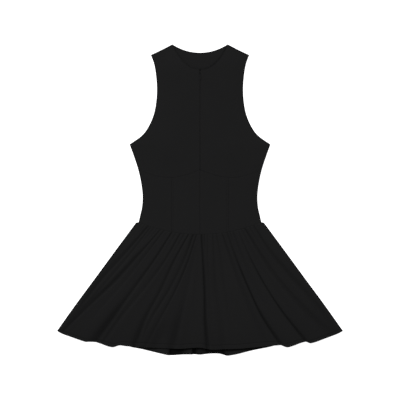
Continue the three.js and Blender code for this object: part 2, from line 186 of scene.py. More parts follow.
def waistSeam(x):
    return dress["waistDrop"] - dress["waistRise"] * np.minimum(1, np.abs(x) / dress["waistHalf"]) ** 2


def skirtTop(x):
    return waistSeam(x) + np.maximum(0, np.abs(x) - dress["waistHalf"]) * dress["skirtTopSlope"]


def shoulderDrop(x):
    along = (np.abs(x) - dress["neckHalf"]) / (dress["shoulderX"] - dress["neckHalf"])
    along = np.clip(along, 0, 1)
    return lerp(dress["neckTop"], dress["shoulderDrop"], along + dress["shoulderSag"] * along * (1 - along))


def neckDrop(x, face):  # face is front or back
    along = np.minimum(1, np.abs(x) / dress["neckHalf"])
    return lerp(dress[face + "NeckDrop"], dress["neckTop"], along ** dress[face + "NeckRound"])


def frontHeight(x, drop):  # middle of the front's wall, as the solids have it
    across = np.minimum(1, np.abs(x) / outerX(drop))
    down = smooth((drop - shoulderDrop(x)) / dress["shoulderRun"])
    return frontRest + dress["frontRise"] * (1 - across ** dress["frontFlat"]) * down


rippleWaves = table("across along turn size", [
    (2.1, 0.7, 1, 1),
    (-0.9, 1.6, 2.3, 0.8),
    (3.3, -2.4, 1.7, 0.45),
])


def ripple(a, b, long, seed):  # slow unevenness of soft cloth, from -1 to 1
    total = 0
    for wave in rippleWaves:
        phase = (a * wave["across"] + b * wave["along"]) / long + seed * wave["turn"]
        total = total + wave["size"] * np.sin(phase)
    return total / sum(wave["size"] for wave in rippleWaves)


softFront = {
    "cupX": 84,  # middle of each cup
    "cupDrop": 278,
    "cupSpread": 40,
    "rise": 0.35,  # half of the ripples' height
    "long": 46,  # size of a ripple
    "fromShoulder": 50,  # the ripples begin over these lengths
    "fromSide": 25,
    "seed": 2,
}


def softFrontHeight(x, drop):
    spread = softFront["cupSpread"]
    cup = bell(np.abs(x) - softFront["cupX"], spread) * bell(drop - softFront["cupDrop"], spread)
    fromShoulder = smooth((drop - shoulderDrop(x)) / softFront["fromShoulder"])
    fromSide = smooth((outerX(drop) - np.abs(x)) / softFront["fromSide"])
    uneven = softFront["rise"] * (1 + ripple(x, drop, softFront["long"], softFront["seed"]))
    return frontHeight(x, drop) + cup * dress["cupRise"] + fromShoulder * fromSide * uneven


# Skirt folds, near the solids' lines: where each lies at five steps from the waist to the hem, its depth at
# the top, middle and hem, how far its valley reaches to the left and to the right of the line at those
# places, and how much painted shade lies along its sharp crease.
foldColumns = "waist upper middle lower hem deep0 deep1 deep2 left0 left1 left2 right0 right1 right2 sharp"
frontFolds = table(foldColumns, [
    (-136, -195, -259, -315, -375.5, 2.4, 3.4, 0, 3, 8, 12, 1.5, 4, 6, 0),
    (-129, -182, -241, -305, -372.5, 1, 0.8, 0, 2, 6, 8, 1.2, 3, 5, 0),
    (-103, -162, -224, -298, -369, 1.3, 3.8, 4.2, 2.2, 9, 7, 1, 3.5, 4, 0),
    (-94, -147, -204, -269, -332, 1, 0.6, 0, 2, 6, 8, 1, 3, 5, 0),
    (-73, -118, -170, -223, -276, 1.8, 2.6, 5.8, 2.6, 7, 17, 1, 3.2, 6, 0),
    (-51, -92, -146, -207, -260, 1.7, 1.6, 2, 2, 8, 12, 1, 4, 6, 0),
    (-29, -69, -103, -143, -172, 1.7, 2.1, 4.2, 2, 6, 11, 1, 2.5, 5, 0.15),
    (-17, -44, -81, -127, -163, 2.2, 2.1, 0.4, 2.4, 5, 9, 1, 2.6, 5, 0),
    (-8, -32, -64, -104, -145, 1.3, 1.9, 0.7, 2, 3.6, 6, 1, 2, 4, 0),
    (-3, -18, -35, -53, -73, 0, 0.7, 4.7, 4, 9, 18, 2, 5, 9, 0),
    (4, 9, 13, 15, 21, 2.2, 3.6, 4.8, 2, 3, 6, 1, 1.4, 5, 0.3),
    (20, 22, 27, 33, 42, 0.9, 0.5, 0, 2, 5, 7, 1, 3, 4, 0),
    (34, 39, 45, 56, 64, 1, 1.2, 1.6, 2, 8, 12, 2, 6, 9, 0),
    (43, 58, 68, 82, 96, 0.9, 0.7, 0, 2, 6, 9, 1.5, 4, 6, 0),
    (58, 85, 114, 146, 181, 1.2, 1.8, 1, 2, 7, 10, 1.5, 4, 6, 0),
    (71, 98, 129, 165, 214, 1.3, 2.8, 4.6, 2, 2.6, 3, 1, 1.4, 9, 0.75),
    (87, 116, 151, 196, 247, 1.1, 0.9, 0, 2.4, 6, 8, 1.5, 5, 6, 0),
    (100, 133, 173, 222, 281, 0.7, 2.4, 4.4, 2, 2.8, 3.2, 1.2, 1.8, 9, 0.5),
    (110, 147, 193, 250, 320, 0.8, 0.6, 0, 2, 6, 8, 1.5, 4, 6, 0),
    (118, 163, 214, 278, 352, 1.9, 3, 2.4, 2, 7, 14, 1, 5, 9, 0),
    (130, 176, 231, 295, 362, 0.8, 0.4, 0, 2, 6, 8, 2, 4, 5, 0),
    (141, 189, 249, 314, 369, 1.7, 3.8, 0.8, 2.4, 8, 12, 1, 5, 8, 0),
])
gathers = {
    "pitch": 9.5,  # along the waist seam
    "deep": 0.8,
    "left": 2.2,  # reach of a gather's valley
    "right": 1.6,
    "run": 0.13,  # share of the skirt's length over which they die out
    # painted shade in the gathers' valleys: how dark, its reach to each side and how soon it dies out
    "tone": 0.25,
    "shadeLeft": 2,
    "shadeRight": 1.4,
    "shadeRun": 0.7,  # the painted shade dies out sooner than the gathers
    "evenness": 0.75,
}
# Low ridges of the back skirt: height at the hem, and half widths there
backFolds = table("waist hem tall toRight toLeft", [
    (-120, -300, 2.2, 26, 20),
    (-88, -225, 3, 24, 14),
    (-62, -152, 2.6, 18, 16),
    (-36, -83.5, 5.2, 40, 3),
    (-12, -22.5, 5, 17, 3),
    (3, 2, 2.8, 8, 9),
    (24, 57, 5, 20, 3.4),
    (46, 103, 3.6, 22, 34),
    (74, 176, 2.8, 18, 20),
    (98, 248, 2.8, 22, 18),
    (126, 312, 2, 20, 24),
])
# Low ridges on the broad cloth between the valleys, down a share of the skirt's length, and one broad hollow
frontRidges = table("waist hem start end tall half", [
    (8, 50, 0.15, 0.62, 0.5, 6),
    (30, 92, 0.42, 0.72, 0.5, 9),
    (-6, -34, 0.25, 0.7, 0.5, 6),
    (-88, -310, 0.3, 0.9, 0.4, 14),
    (-66, -232, 0.35, 0.95, 0.4, 12),
    (110, 318, 0.35, 0.95, 0.5, 14),
    (64, 196, 0.3, 0.8, 0.5, 10),
    (-30, -112, 0.75, 1.4, -4.5, 22),
])
stations = ("waist", "upper", "middle", "lower", "hem")
shares = [i / (len(stations) - 1) for i in range(len(stations))]  # of the way down at each of them
backForm = {"waistWidth": 0.45, "growth": 1.4}  # a fold's width at the waist, and how fast it rises


def backSkirtHeight(x, drop):
    down = np.clip((drop - dress["waistDrop"]) / (backHemDrop(x) - dress["waistDrop"]), 0, 1)
    height = np.full(np.shape(x), dress["cloth"] / 2)
    for fold in backFolds:
        off = x - lerp(fold["waist"], fold["hem"], down)
        wide = np.where(off < 0, fold["toRight"], fold["toLeft"]) * lerp(backForm["waistWidth"], 1, down)
        height = height + fold["tall"] * smooth(down * backForm["growth"]) * bell(off, wide)
    return height


def skirtEdge(side):
    edge = {}
    for station, share, bow in zip(stations, shares, dress["sideBow"]):
        edge[station] = side * (lerp(dress["skirtTopHalf"], dress["hemHalf"], share) + bow)
    return edge


foldLines = [skirtEdge(-1), *frontFolds, skirtEdge(1)]
for k, fold in enumerate(foldLines):
    fold["at"] = through(shares, [fold[name] for name in stations])
    toNext = foldLines[k + 1]["waist"] - fold["waist"] if k + 1 < len(foldLines) else 0
    fold["gathers"] = max(0, math.floor(toNext / gathers["pitch"] + 0.5) - 1)


def foldSize(fold, name, t):  # a fold's depth or reach at a share of the way down
    if name + "0" not in fold:
        return np.full(np.shape(t), 0.0 if name == "deep" else 1.0)
    above = lerp(fold[name + "0"], fold[name + "1"], smooth(t * 2))
    return np.where(t < 0.5, above, lerp(fold[name + "1"], fold[name + "2"], smooth(t * 2 - 1)))


def foldReach(fold, t):  # to the left and right, and never so short that the thick cloth can't turn
    least = np.sqrt(foldSize(fold, "deep", t) * dress["cloth"] * skirtForm["turning"])
    return np.maximum(foldSize(fold, "left", t), least), np.maximum(foldSize(fold, "right", t), least)


def gathersAfter(k, t):  # the small gathers between a fold and the next: the place and the size of each
    count = foldLines[k]["gathers"]
    for g in range(1, count + 1):
        place = lerp(foldLines[k]["at"](t), foldLines[k + 1]["at"](t), g / (count + 1))
        yield place, lerp(math.sin(5 * k + 3 * g), 1, gathers["evenness"])


def valley(off, left, right):
    return bell(off, np.where(off < 0, left, right))


# Painted shade on the front skirt: how dark each part is, the share of the way down where it begins, and how
# fast it grows
skirtPaintedShade = {
    "all": (0.04, 0, 3),
    "lowerHalf": (0.09, 0.45, 2),
    "wearersRight": (0.05, 0, 2),
    "sides": (0.08, 0, 3),
    "hem": (0.06, 0.86, 12),
    "heldOpen": (0.35, 0.88, 10),  # painted shade lost by the folds where the hem holds them open
    "creaseShade": (1, 0.4 / 3, 3),
    "depth": (1, 0, 1.8),
}
foldPaintedShade = {
    "fromSide": 34,  # how fast the painted shade sets in from the skirt's sides
    "rightSpan": 60,
    "sideSpan": 22,
    "fullDepth": (3.5, 11.5),  # a fold this deep gets full painted shade, near the waist and lower down
    "leftShare": 0.75,  # of the valley's reach
    "rightShare": 0.8,
    "litSideShade": 0.22,  # share of the painted shade also put on the valley's side that faces the key light
    "litPlace": 1.9,
    "litReach": 2,
    "creaseHalf": 1.5,
}


# painted shade of one part of the skirt, at a share of the way down
def tone(name, t):
    dark, start, rate = skirtPaintedShade[name]
    return dark * smooth((t - start) * rate)


def frontSkirtShade(x, t):  # painted shade, from 0 to 1: in the folds and over broad parts of the skirt
    half = lerp(dress["skirtTopHalf"], dress["hemHalf"], t)
    inside = smooth((1 - np.minimum(1, np.abs(x) / half)) * foldPaintedShade["fromSide"])
    shade = tone("all", t) + tone("lowerHalf", t) + tone("hem", t)
    shade = shade + tone("wearersRight", t) * smooth(-x / foldPaintedShade["rightSpan"])
    shade = shade + tone("sides", t) * bell(half - np.abs(x), foldPaintedShade["sideSpan"])
    fade = 1 - tone("heldOpen", t)
    for k, fold in enumerate(foldLines):
        off = x - fold["at"](t)
        left, right = foldReach(fold, t)
        # painted shade in each fold's valley, on its side facing the key light, and along a sharp crease
        dark = fade * foldSize(fold, "deep", t) / lerp(*foldPaintedShade["fullDepth"], tone("depth", t))
        litSideShade = valley(off - right * foldPaintedShade["litPlace"], right, right * foldPaintedShade["litReach"])
        shade = shade + dark * valley(off, left * foldPaintedShade["leftShare"], right * foldPaintedShade["rightShare"])
        shade = shade + dark * foldPaintedShade["litSideShade"] * litSideShade
        creaseShade = fold.get("sharp", 0) * tone("creaseShade", t) * bell(off, foldPaintedShade["creaseHalf"])
        shade = shade + creaseShade * fade**2
        # painted shade in the gathers' valleys
        for place, size in gathersAfter(k, t):
            dark = gathers["tone"] * size * bell(t, gathers["run"] * gathers["shadeRun"] * size)
            shade = shade + dark * valley(x - place, gathers["shadeLeft"], gathers["shadeRight"])
    return np.minimum(1, shade * inside)


skirtForm = {
    "turning": 2.4,  # room that the thick cloth needs in a valley
    "across": 4,  # power of the flutes' rise across the skirt
    "early": 0.75,  # share of the rise that comes evenly down the skirt
    "fromSide": 16,  # how fast the folds set in from the skirt's sides
    "atSeam": 0.3,  # share of a fold's depth where the seam holds the cloth level
    "belowSeam": 50,  # how fast it grows under the seam
    "ridgeEnds": 6,  # how fast a ridge begins and ends
    "ripple": 0.4,
    "rippleLong": 11,
    "rippleDown": 30,
    "rippleStart": 3,
    "rippleSeed": 4,
    "clear": 0.1,  # over the back skirt
    "blend": 1.2,
}


def frontSkirtHeight(x, t, waistX, drop):
    half = lerp(dress["skirtTopHalf"], dress["hemHalf"], t)
    across = np.minimum(1, np.abs(x) / half)
    seam = softFrontHeight(waistX, skirtTop(waistX)) - frontRest
    flutes = dress["hemRise"] * (1 - across ** skirtForm["across"])
    height = frontRest + lerp(seam, flutes, smooth(lerp(t * t, t, skirtForm["early"])))
    inside = smooth((1 - across) * skirtForm["fromSide"])
    begin = lerp(skirtForm["atSeam"], 1, smooth(t * skirtForm["belowSeam"]))
    for k, fold in enumerate(foldLines):
        off = x - fold["at"](t)
        height = height - inside * begin * foldSize(fold, "deep", t) * valley(off, *foldReach(fold, t))
        for place, size in gathersAfter(k, t):
            deep = begin * gathers["deep"] * size * bell(t, gathers["run"] * size)
            height = height - inside * deep * valley(x - place, gathers["left"], gathers["right"])
    for ridge in frontRidges:
        crest = lerp(ridge["waist"], ridge["hem"], t)
        starts = smooth((t - ridge["start"]) * skirtForm["ridgeEnds"])
        ends = smooth((ridge["end"] - t) * skirtForm["ridgeEnds"])
        height = height + ridge["tall"] * starts * ends * bell(x - crest, ridge["half"])
    uneven = ripple(waistX, t * skirtForm["rippleDown"], skirtForm["rippleLong"], skirtForm["rippleSeed"])
    height = height + inside * smooth(t * skirtForm["rippleStart"]) * skirtForm["ripple"] * uneven
    lowest = backSkirtHeight(x, drop) + dress["cloth"] + dress["seamGap"]
    return higher(height, lowest + skirtForm["clear"], skirtForm["blend"])


# Small places along an edge, so that it can be rounded there
edgeSteps = (0, 0.1, 0.3, 0.6, 1, 1.6, 2.6, 4)


def places(length, step, start=True, end=True):
    before = list(edgeSteps) if start else [0]
    after = [length - s for s in reversed(edgeSteps)] if end else [length]
    count = max(1, math.ceil((after[0] - before[-1]) / step))
    middle = np.linspace(before[-1], after[0], count + 1)[1:-1]
    return np.array([*before, *middle, *after]) / length


def slopeAlong(grid, axis):  # direction of a grid's lines, true where their points are unevenly spaced
    grid = np.moveaxis(grid, axis, 0)
    step = np.diff(grid, axis=0)
    gap = np.linalg.norm(step, axis=2, keepdims=True)
    slope = step / gap
    inner = (slope[:-1] * gap[1:] + slope[1:] * gap[:-1]) / (gap[1:] + gap[:-1])
    return np.moveaxis(np.concatenate([slope[:1], inner, slope[-1:]]), 0, axis)


def normalsOf(grid):
    normal = np.cross(slopeAlong(grid, 1), slopeAlong(grid, 0))
    normal /= np.linalg.norm(normal, axis=2, keepdims=True)
    return np.where(normal[..., 2:] < 0, -normal, normal)


def distanceToEdge(grid, edge):  # distance at right angles to the near, far, left or right edge of the grid
    flat = grid[..., :2]
    if edge in ("left", "right"):
        border = flat[:, 0 if edge == "left" else -1]
        tangent = np.gradient(border, axis=0)
        to = flat - border[:, None]
        tangent = (tangent / np.linalg.norm(tangent, axis=1, keepdims=True))[:, None]
    else:
        border = flat[0 if edge == "near" else -1]
        tangent = np.gradient(border, axis=0)
        to = flat - border[None]
        tangent = (tangent / np.linalg.norm(tangent, axis=1, keepdims=True))[None]
    return np.abs(to[..., 0] * tangent[..., 1] - to[..., 1] * tangent[..., 0])


def meshObject(name, points, faces, uv, material):
    mesh = bpy.data.meshes.new(name)
    mesh.from_pydata((points * toMetres).tolist(), [], faces)
    layer = mesh.uv_layers.new(name="clothMap")
    corners = np.zeros(len(mesh.loops), np.int32)
    mesh.loops.foreach_get("vertex_index", corners)
    layer.data.foreach_set("uv", (uv[corners] * toMetres).astype(np.float32).ravel())
    mesh.polygons.foreach_set("use_smooth", np.ones(len(mesh.polygons), bool))
    mesh.materials.append(material)
    piece = bpy.data.objects.new(name, mesh)
    bpy.context.scene.collection.objects.link(piece)
    return piece


def keepCut(piece, uv):
    flat = uv * toMetres
    wide, long = np.ptp(flat[..., 0]), np.ptp(flat[..., 1])
    across, along = flat[1:, 1:] - flat[:-1, :-1], flat[1:, :-1] - flat[:-1, 1:]
    area = np.abs(across[..., 0] * along[..., 1] - across[..., 1] * along[..., 0]).sum() / 2
    print(piece.name, "cut", round(wide, 3), round(long, 3), round(area, 4))


# Painted shade along panel edges, free and sewn, and its reach; then how seams are pressed and edges rounded
edges = {
    "freeEdgeShade": 1.1,  # painted shade along free edges
    "seamEdgeShade": 0.08,
    "edgeShadeReach": 1.9,
    "pressReach": 1.5,
    "seamTurn": 4,  # a seam's edges turn in this much more sharply
    "round": 0.6,  # reach of the rounding, as a share of the thickness
    "far": 1000,
}


# A shell round the middle surface of a panel. Its top and bottom share their outer ring, so the edge is
# round. seams says how deep each sewn edge is pressed in, and rims how strong the painted shade at an edge
# is.
def clothShell(name, grid, uv, material, seams=None, thick=None, shade=None, rims=None):
    thick = thick or dress["cloth"]
    seams, rims = seams or {}, rims or {}
    near = np.full(grid.shape[:2], float(edges["far"]))
    middle = grid.copy()
    edgeShade = np.zeros(near.shape)
    for edge in ("near", "far", "left", "right"):
        away = distanceToEdge(grid, edge)
        middle[..., 2] -= seams.get(edge, 0) * bell(away, edges["pressReach"])
        near = np.minimum(near, away * (edges["seamTurn"] if edge in seams else 1))
        # painted shade along each edge
        deep = edges["seamEdgeShade" if edge in seams else "freeEdgeShade"] * rims.get(edge, 1)
        edgeShade = np.maximum(edgeShade, deep * bell(away, edges["edgeShadeReach"]))
    roundness = np.sqrt(1 - (1 - np.minimum(near / (thick * edges["round"]), 1)) ** 2)
    normal = normalsOf(middle) * (roundness * thick / 2)[..., None]
    top = middle + normal
    bottom = middle - normal
    rows, columns = near.shape
    index = np.arange(rows * columns).reshape(rows, columns)
    inner = index[1:-1, 1:-1]
    under = index.copy()
    under[1:-1, 1:-1] = rows * columns + np.arange(inner.size).reshape(inner.shape)
    points = np.concatenate([top.reshape(-1, 3), bottom[1:-1, 1:-1].reshape(-1, 3)])
    maps = np.concatenate([uv.reshape(-1, 2), uv[1:-1, 1:-1].reshape(-1, 2)])

    def quads(ids, flip):
        corners = [ids[:-1, :-1], ids[:-1, 1:], ids[1:, 1:], ids[1:, :-1]]
        if flip:
            corners.reverse()
        return np.stack(corners, axis=-1).reshape(-1, 4)

    first = np.cross(grid[0, 1] - grid[0, 0], grid[1, 0] - grid[0, 0])
    up = first[2] > 0
    faces = np.concatenate([quads(index, not up), quads(under, up)]).tolist()
    piece = meshObject(name, points, faces, maps, material)
    # Painted shade, kept per point, darkens the knit's colour: the given shade on the top, only the edges'
    # underneath
    onTop = edgeShade if shade is None else np.maximum(edgeShade, shade)
    values = np.concatenate([onTop.reshape(-1), edgeShade[1:-1, 1:-1].reshape(-1)])
    piece.data.attributes.new("paintedShade", "FLOAT", "POINT").data.foreach_set("value", values)
    keepCut(piece, uv)
    return piece


# A panel between four edges. near and far are functions of u, left and right of v, each giving x and drop.
def panelGrid(near, far, left, right, us, vs):
    u, v = us[None, :, None], vs[:, None, None]
    lower, upper, start, end = near(us)[None], far(us)[None], left(vs)[:, None], right(vs)[:, None]
    corners = (1 - u) * (1 - v) * lower[:, :1] + u * (1 - v) * lower[:, -1:]
    corners = corners + (1 - u) * v * upper[:, :1] + u * v * upper[:, -1:]
    return (1 - v) * lower + v * upper + (1 - u) * start + u * end - corners


def line(x, drop):
    return np.stack(np.broadcast_arrays(x, drop), axis=-1).astype(float)


def raised(flat, height):  # x and drop to x, y and z
    x, drop = flat[..., 0], flat[..., 1]
    return np.stack([x, topY - drop, height(x, drop)], axis=-1)


# Materials
def newMaterial(name):
    material = bpy.data.materials.new(name)
    material.use_nodes = True
    return material, material.node_tree, material.node_tree.nodes["Principled BSDF"]


def mathNode(tree, operation, *inputs):
    made = tree.nodes.new("ShaderNodeMath")
    made.operation = operation
    for socket, value in zip(made.inputs, inputs):
        if isinstance(value, bpy.types.NodeSocket):
            tree.links.new(value, socket)
        else:
            socket.default_value = value
    return made.outputs[0]


def setInputs(node, values):
    for name, value in values.items():
        node.inputs[name].default_value = value


def noiseNode(tree, coordinates, scale, detail, roughness=0.5):
    made = tree.nodes.new("ShaderNodeTexNoise")
    setInputs(made, {"Scale": scale, "Detail": detail, "Roughness": roughness})
    tree.links.new(coordinates, made.inputs["Vector"])
    return made.outputs["Fac"]


def rampNode(tree, factor, stops):
    made = tree.nodes.new("ShaderNodeValToRGB")
    ramp = made.color_ramp
    while len(ramp.elements) < len(stops):
        ramp.elements.new(0.5)
    for element, (place, colour) in zip(ramp.elements, stops):
        element.position = place
        element.color = (*colour, 1)
    tree.links.new(factor, made.inputs["Fac"])
    return made.outputs["Color"]


def bumpNode(tree, height, distance, strength, normal=None):
    made = tree.nodes.new("ShaderNodeBump")
    setInputs(made, {"Distance": distance, "Strength": strength})
    tree.links.new(height, made.inputs["Height"])
    if normal is not None:
        tree.links.new(normal, made.inputs["Normal"])
    return made.outputs["Normal"]


def flatPlace(tree, acrossStep, alongStep):  # a sheet's flat coordinates, counted in loops or threads
    place = tree.nodes.new("ShaderNodeTexCoord")
    split = tree.nodes.new("ShaderNodeSeparateXYZ")
    tree.links.new(place.outputs["UV"], split.inputs[0])
    across = mathNode(tree, "DIVIDE", split.outputs["X"], acrossStep)
    return across, mathNode(tree, "DIVIDE", split.outputs["Y"], alongStep)


def plusShare(tree, base, value, share):  # a share of a value, on top of another
    return mathNode(tree, "ADD", base, mathNode(tree, "MULTIPLY", value, share))


knitLook = {
    "wale": 0.0011,  # one column of loops
    "course": 0.0008,
    "slant": 1.3,  # how far a loop's legs lean
    "leg": 0.4,  # how much of a loop's height comes and goes along its legs
    "fuzz": (900, 3, 0.6),  # scale, detail and roughness of each noise
    "slow": (14, 4, 0.55),
    "cloth": (130, 3),
    "dark": (0.0105, 0.0105, 0.0107),
    "light": (0.0112, 0.0112, 0.0114),
    "toneStops": (0.2, 0.72),
    "slowTone": 0.7,
    "loopTone": 0.22,
    "paintedShade": 0.6,  # share of the colour lost where the painted shade is 1
    "darkest": 0.06,
    "roughness": 0.64,
    "fuzzRoughness": 0.16,
    "specular": 0.06,
    "sheen": 0.01,
    "sheenRoughness": 0.45,
    "clothBump": (0.0004, 0.35),  # distance and strength of each bump
    "loopBump": (0.00012, 0.55),
    "fuzzBump": 0.3,
}


def knitMaterial():
    material, tree, shader = newMaterial("blackKnit")
    place = tree.nodes.new("ShaderNodeTexCoord").outputs["Object"]
    across, along = flatPlace(tree, knitLook["wale"], knitLook["course"])
    inLoop = mathNode(tree, "FRACT", across)
    fromMiddle = mathNode(tree, "ABSOLUTE", mathNode(tree, "SUBTRACT", inLoop, 0.5))
    slanted = plusShare(tree, along, fromMiddle, knitLook["slant"])
    leg = mathNode(tree, "SINE", mathNode(tree, "MULTIPLY", slanted, 2 * math.pi))
    legSide = mathNode(tree, "SINE", mathNode(tree, "MULTIPLY", fromMiddle, 2 * math.pi))
    loop = mathNode(tree, "MULTIPLY", plusShare(tree, 1 - knitLook["leg"], leg, knitLook["leg"]), legSide)
    fuzz = noiseNode(tree, place, *knitLook["fuzz"])
    slow = noiseNode(tree, place, *knitLook["slow"])
    tone = mathNode(tree, "MULTIPLY", slow, knitLook["slowTone"])
    tone = plusShare(tree, tone, loop, knitLook["loopTone"])
    # Painted shade: the panel's shade attribute darkens the base colour, down to the darkest share
    shade = tree.nodes.new("ShaderNodeAttribute")
    shade.attribute_name = "paintedShade"
    kept = mathNode(tree, "MULTIPLY_ADD", shade.outputs["Fac"], -knitLook["paintedShade"], 1.0)
    paintShade = tree.nodes.new("ShaderNodeVectorMath")
    paintShade.operation = "SCALE"
    stops = zip(knitLook["toneStops"], (knitLook["dark"], knitLook["light"]))
    tree.links.new(rampNode(tree, tone, list(stops)), paintShade.inputs[0])
    tree.links.new(mathNode(tree, "MAXIMUM", kept, knitLook["darkest"]), paintShade.inputs["Scale"])
    tree.links.new(paintShade.outputs["Vector"], shader.inputs["Base Color"])
    rough = plusShare(tree, knitLook["roughness"], fuzz, knitLook["fuzzRoughness"])
    tree.links.new(rough, shader.inputs["Roughness"])
    cloth = bumpNode(tree, noiseNode(tree, place, *knitLook["cloth"]), *knitLook["clothBump"])
    fuzzyLoop = plusShare(tree, loop, fuzz, knitLook["fuzzBump"])
    tree.links.new(bumpNode(tree, fuzzyLoop, *knitLook["loopBump"], cloth), shader.inputs["Normal"])
    setInputs(shader, {
        "Specular IOR Level": knitLook["specular"],
        "Sheen Weight": knitLook["sheen"],
        "Sheen Roughness": knitLook["sheenRoughness"],
    })
    return material


tapeLook = {
    "thread": 0.0007,
    "turn": 4,  # threads between the herringbone's turns
    "dark": (0.004, 0.004, 0.0042),
    "light": (0.011, 0.011, 0.0115),
    "toneStops": (0.15, 0.85),
    "tone": 0.3,  # how far the twill moves it from its middle
    "bump": (0.0001, 0.6),
    "roughness": 0.8,
    "specular": 0.15,
}


def tapeMaterial():
    material, tree, shader = newMaterial("zipTapeWeave")
    across, along = flatPlace(tree, tapeLook["thread"], tapeLook["thread"])
    turn = mathNode(tree, "PINGPONG", across, tapeLook["turn"])
    twill = mathNode(tree, "SINE", mathNode(tree, "MULTIPLY", mathNode(tree, "ADD", along, turn), math.pi))
    tone = plusShare(tree, 0.5, twill, tapeLook["tone"])
    stops = zip(tapeLook["toneStops"], (tapeLook["dark"], tapeLook["light"]))
    tree.links.new(rampNode(tree, tone, list(stops)), shader.inputs["Base Color"])
    tree.links.new(bumpNode(tree, twill, *tapeLook["bump"]), shader.inputs["Normal"])
    setInputs(shader, {"Roughness": tapeLook["roughness"], "Specular IOR Level": tapeLook["specular"]})
    return material


threadLook = {
    "noise": (1500, 2, 0.5),
    "stops": [(0.3, (0.005, 0.005, 0.0052)), (0.7, (0.008, 0.008, 0.0082))],
    "bump": (0.0001, 0.5),
    "roughness": 0.7,
    "unevenness": 0,  # how much rougher its light parts are
    "specular": 0.08,
}
lacquerLook = {
    "noise": (700, 4, 0.6),
    "stops": [(0.55, (0.0072, 0.0072, 0.0074)), (0.8, (0.009, 0.009, 0.0093))],  # whole and worn
    "bump": (0.00005, 0.3),
    "roughness": 0.4,
    "unevenness": 0.25,
    "specular": 0.07,
}


def speckledMaterial(name, look):  # one noise gives the tone, the roughness and a fine bump
    material, tree, shader = newMaterial(name)
    place = tree.nodes.new("ShaderNodeTexCoord")
    speckle = noiseNode(tree, place.outputs["Object"], *look["noise"])
    tree.links.new(rampNode(tree, speckle, look["stops"]), shader.inputs["Base Color"])
    if look["unevenness"]:
        rough = plusShare(tree, look["roughness"], speckle, look["unevenness"])
        tree.links.new(rough, shader.inputs["Roughness"])
    tree.links.new(bumpNode(tree, speckle, *look["bump"]), shader.inputs["Normal"])
    setInputs(shader, {"Roughness": look["roughness"], "Specular IOR Level": look["specular"]})
    return material


knit = knitMaterial()
tapeWeave = tapeMaterial()
thread = speckledMaterial("blackThread", threadLook)
lacquer = speckledMaterial("blackLacquer", lacquerLook)
print("materials made")


# The back of the bodice, flat on the surface
backBodiceForm = {
    "long": 443,  # at the side
    "acrossStep": 3,
    "alongStep": 4,
    "waistEase": 2,  # powers by which the waist's and the shoulders' curves die out towards the middle
    "shoulderEase": 6,
    "leftSpan": 40,  # painted shadow inside the neck, darker on the wearer's left
    "leftShade": 0.6,
    "rightShade": 0.5,
    "underFront": 2,  # reach of the painted shadow at and under the front's edge
    "underStart": 0.6,
    "leftStart": 0.4,
    # painted shade seen through the notch at the zip
    "notchHalf": 6,
    "notchAbove": 1.5,
    "notchShade": 1.25,
    # painted shade along the neck edge
    "neckRimShade": 0.4,
}


def inTwo(first, second, corner):  # shares along an edge that bends at a corner
    return np.array([*(first * corner), *(corner + second * (1 - corner))[1:]])


def neckInsideShade(x, beyond):  # painted shadow at the front's neck edge; beyond is how far under that edge a point lies
    form = backBodiceForm
    left = smooth(x / form["leftSpan"])
    shade = smooth(beyond / form["underFront"] + form["underStart"] + form["leftStart"] * left)
    shade = shade * (form["rightShade"] + form["leftShade"] * left)
    atNotch = bell(x, form["notchHalf"]) * smooth(beyond + form["notchAbove"])
    return np.maximum(shade, form["notchShade"] * atNotch)


def makeBackBodice():
    form = backBodiceForm
    corner = dress["neckHalf"] / dress["shoulderX"]
    neck = places(dress["neckHalf"], form["acrossStep"], start=False, end=False)
    shoulder = places(dress["shoulderX"] - dress["neckHalf"], form["acrossStep"], start=False)
    half = inTwo(neck, shoulder, corner)
    us = np.concatenate([-half[:0:-1], half])
    up = places(form["long"], form["alongStep"])
    edgeDrop = lerp(dress["waistEndDrop"], dress["shoulderDrop"], up)
    x = us[None] * outerX(edgeDrop)[:, None]
    waist = waistSeam(us * dress["waistHalf"]) - dress["waistEndDrop"] - dress["join"] / 2
    topX = np.abs(us) * dress["shoulderX"]
    atTop = np.where(topX > dress["neckHalf"], shoulderDrop(topX), neckDrop(topX, "back"))
    sag = waist[None] * (1 - up[:, None]) ** form["waistEase"]
    sag = sag + (atTop - dress["shoulderDrop"])[None] * up[:, None] ** form["shoulderEase"]
    flat = line(x, edgeDrop[:, None] + sag)
    grid = raised(flat, lambda x, drop: np.full(x.shape, dress["cloth"] / 2))
    # painted shadow under the front's neck edge and in the notch
    shade = neckInsideShade(flat[..., 0], flat[..., 1] - neckDrop(flat[..., 0], "front"))
    rims = {"far": form["neckRimShade"]}
    return clothShell("backBodice", grid, flat, knit, seams={"near": 0}, shade=shade, rims=rims)


# The upper fronts. The folded edges at the zip stand a slot apart, which opens to a notch at the neck.
slot = table("drop half", [(65.1, 4.2), (69.5, 1.9), (72, 1), (77, 0.8), (83, 0.22), (345, 0.22)])
slotHalf = column(slot, "drop", "half")
upperForm = {
    "turn": 0.52,  # share of the top edge that is neckline
    "armStart": 0.26,  # share of the outer edge that is side seam
    "neckEase": 1.35,  # closer points towards the shoulder end of the neckline
    "neckLong": 76,  # lengths that set the number of points
    "shoulderLong": 60,
    "acrossStep": 2.2,
    "sideLong": 75,
    "sideStep": 3,
    "armLong": 235,
    "armStep": 2.8,
    # painted shade along the neck edge
    "neckEdgeShade": 0.6,
    "leftShade": 0.25,  # more painted shade on the wearer's left
    "seamPress": 0.12,
    "zipPress": 0.1,
}


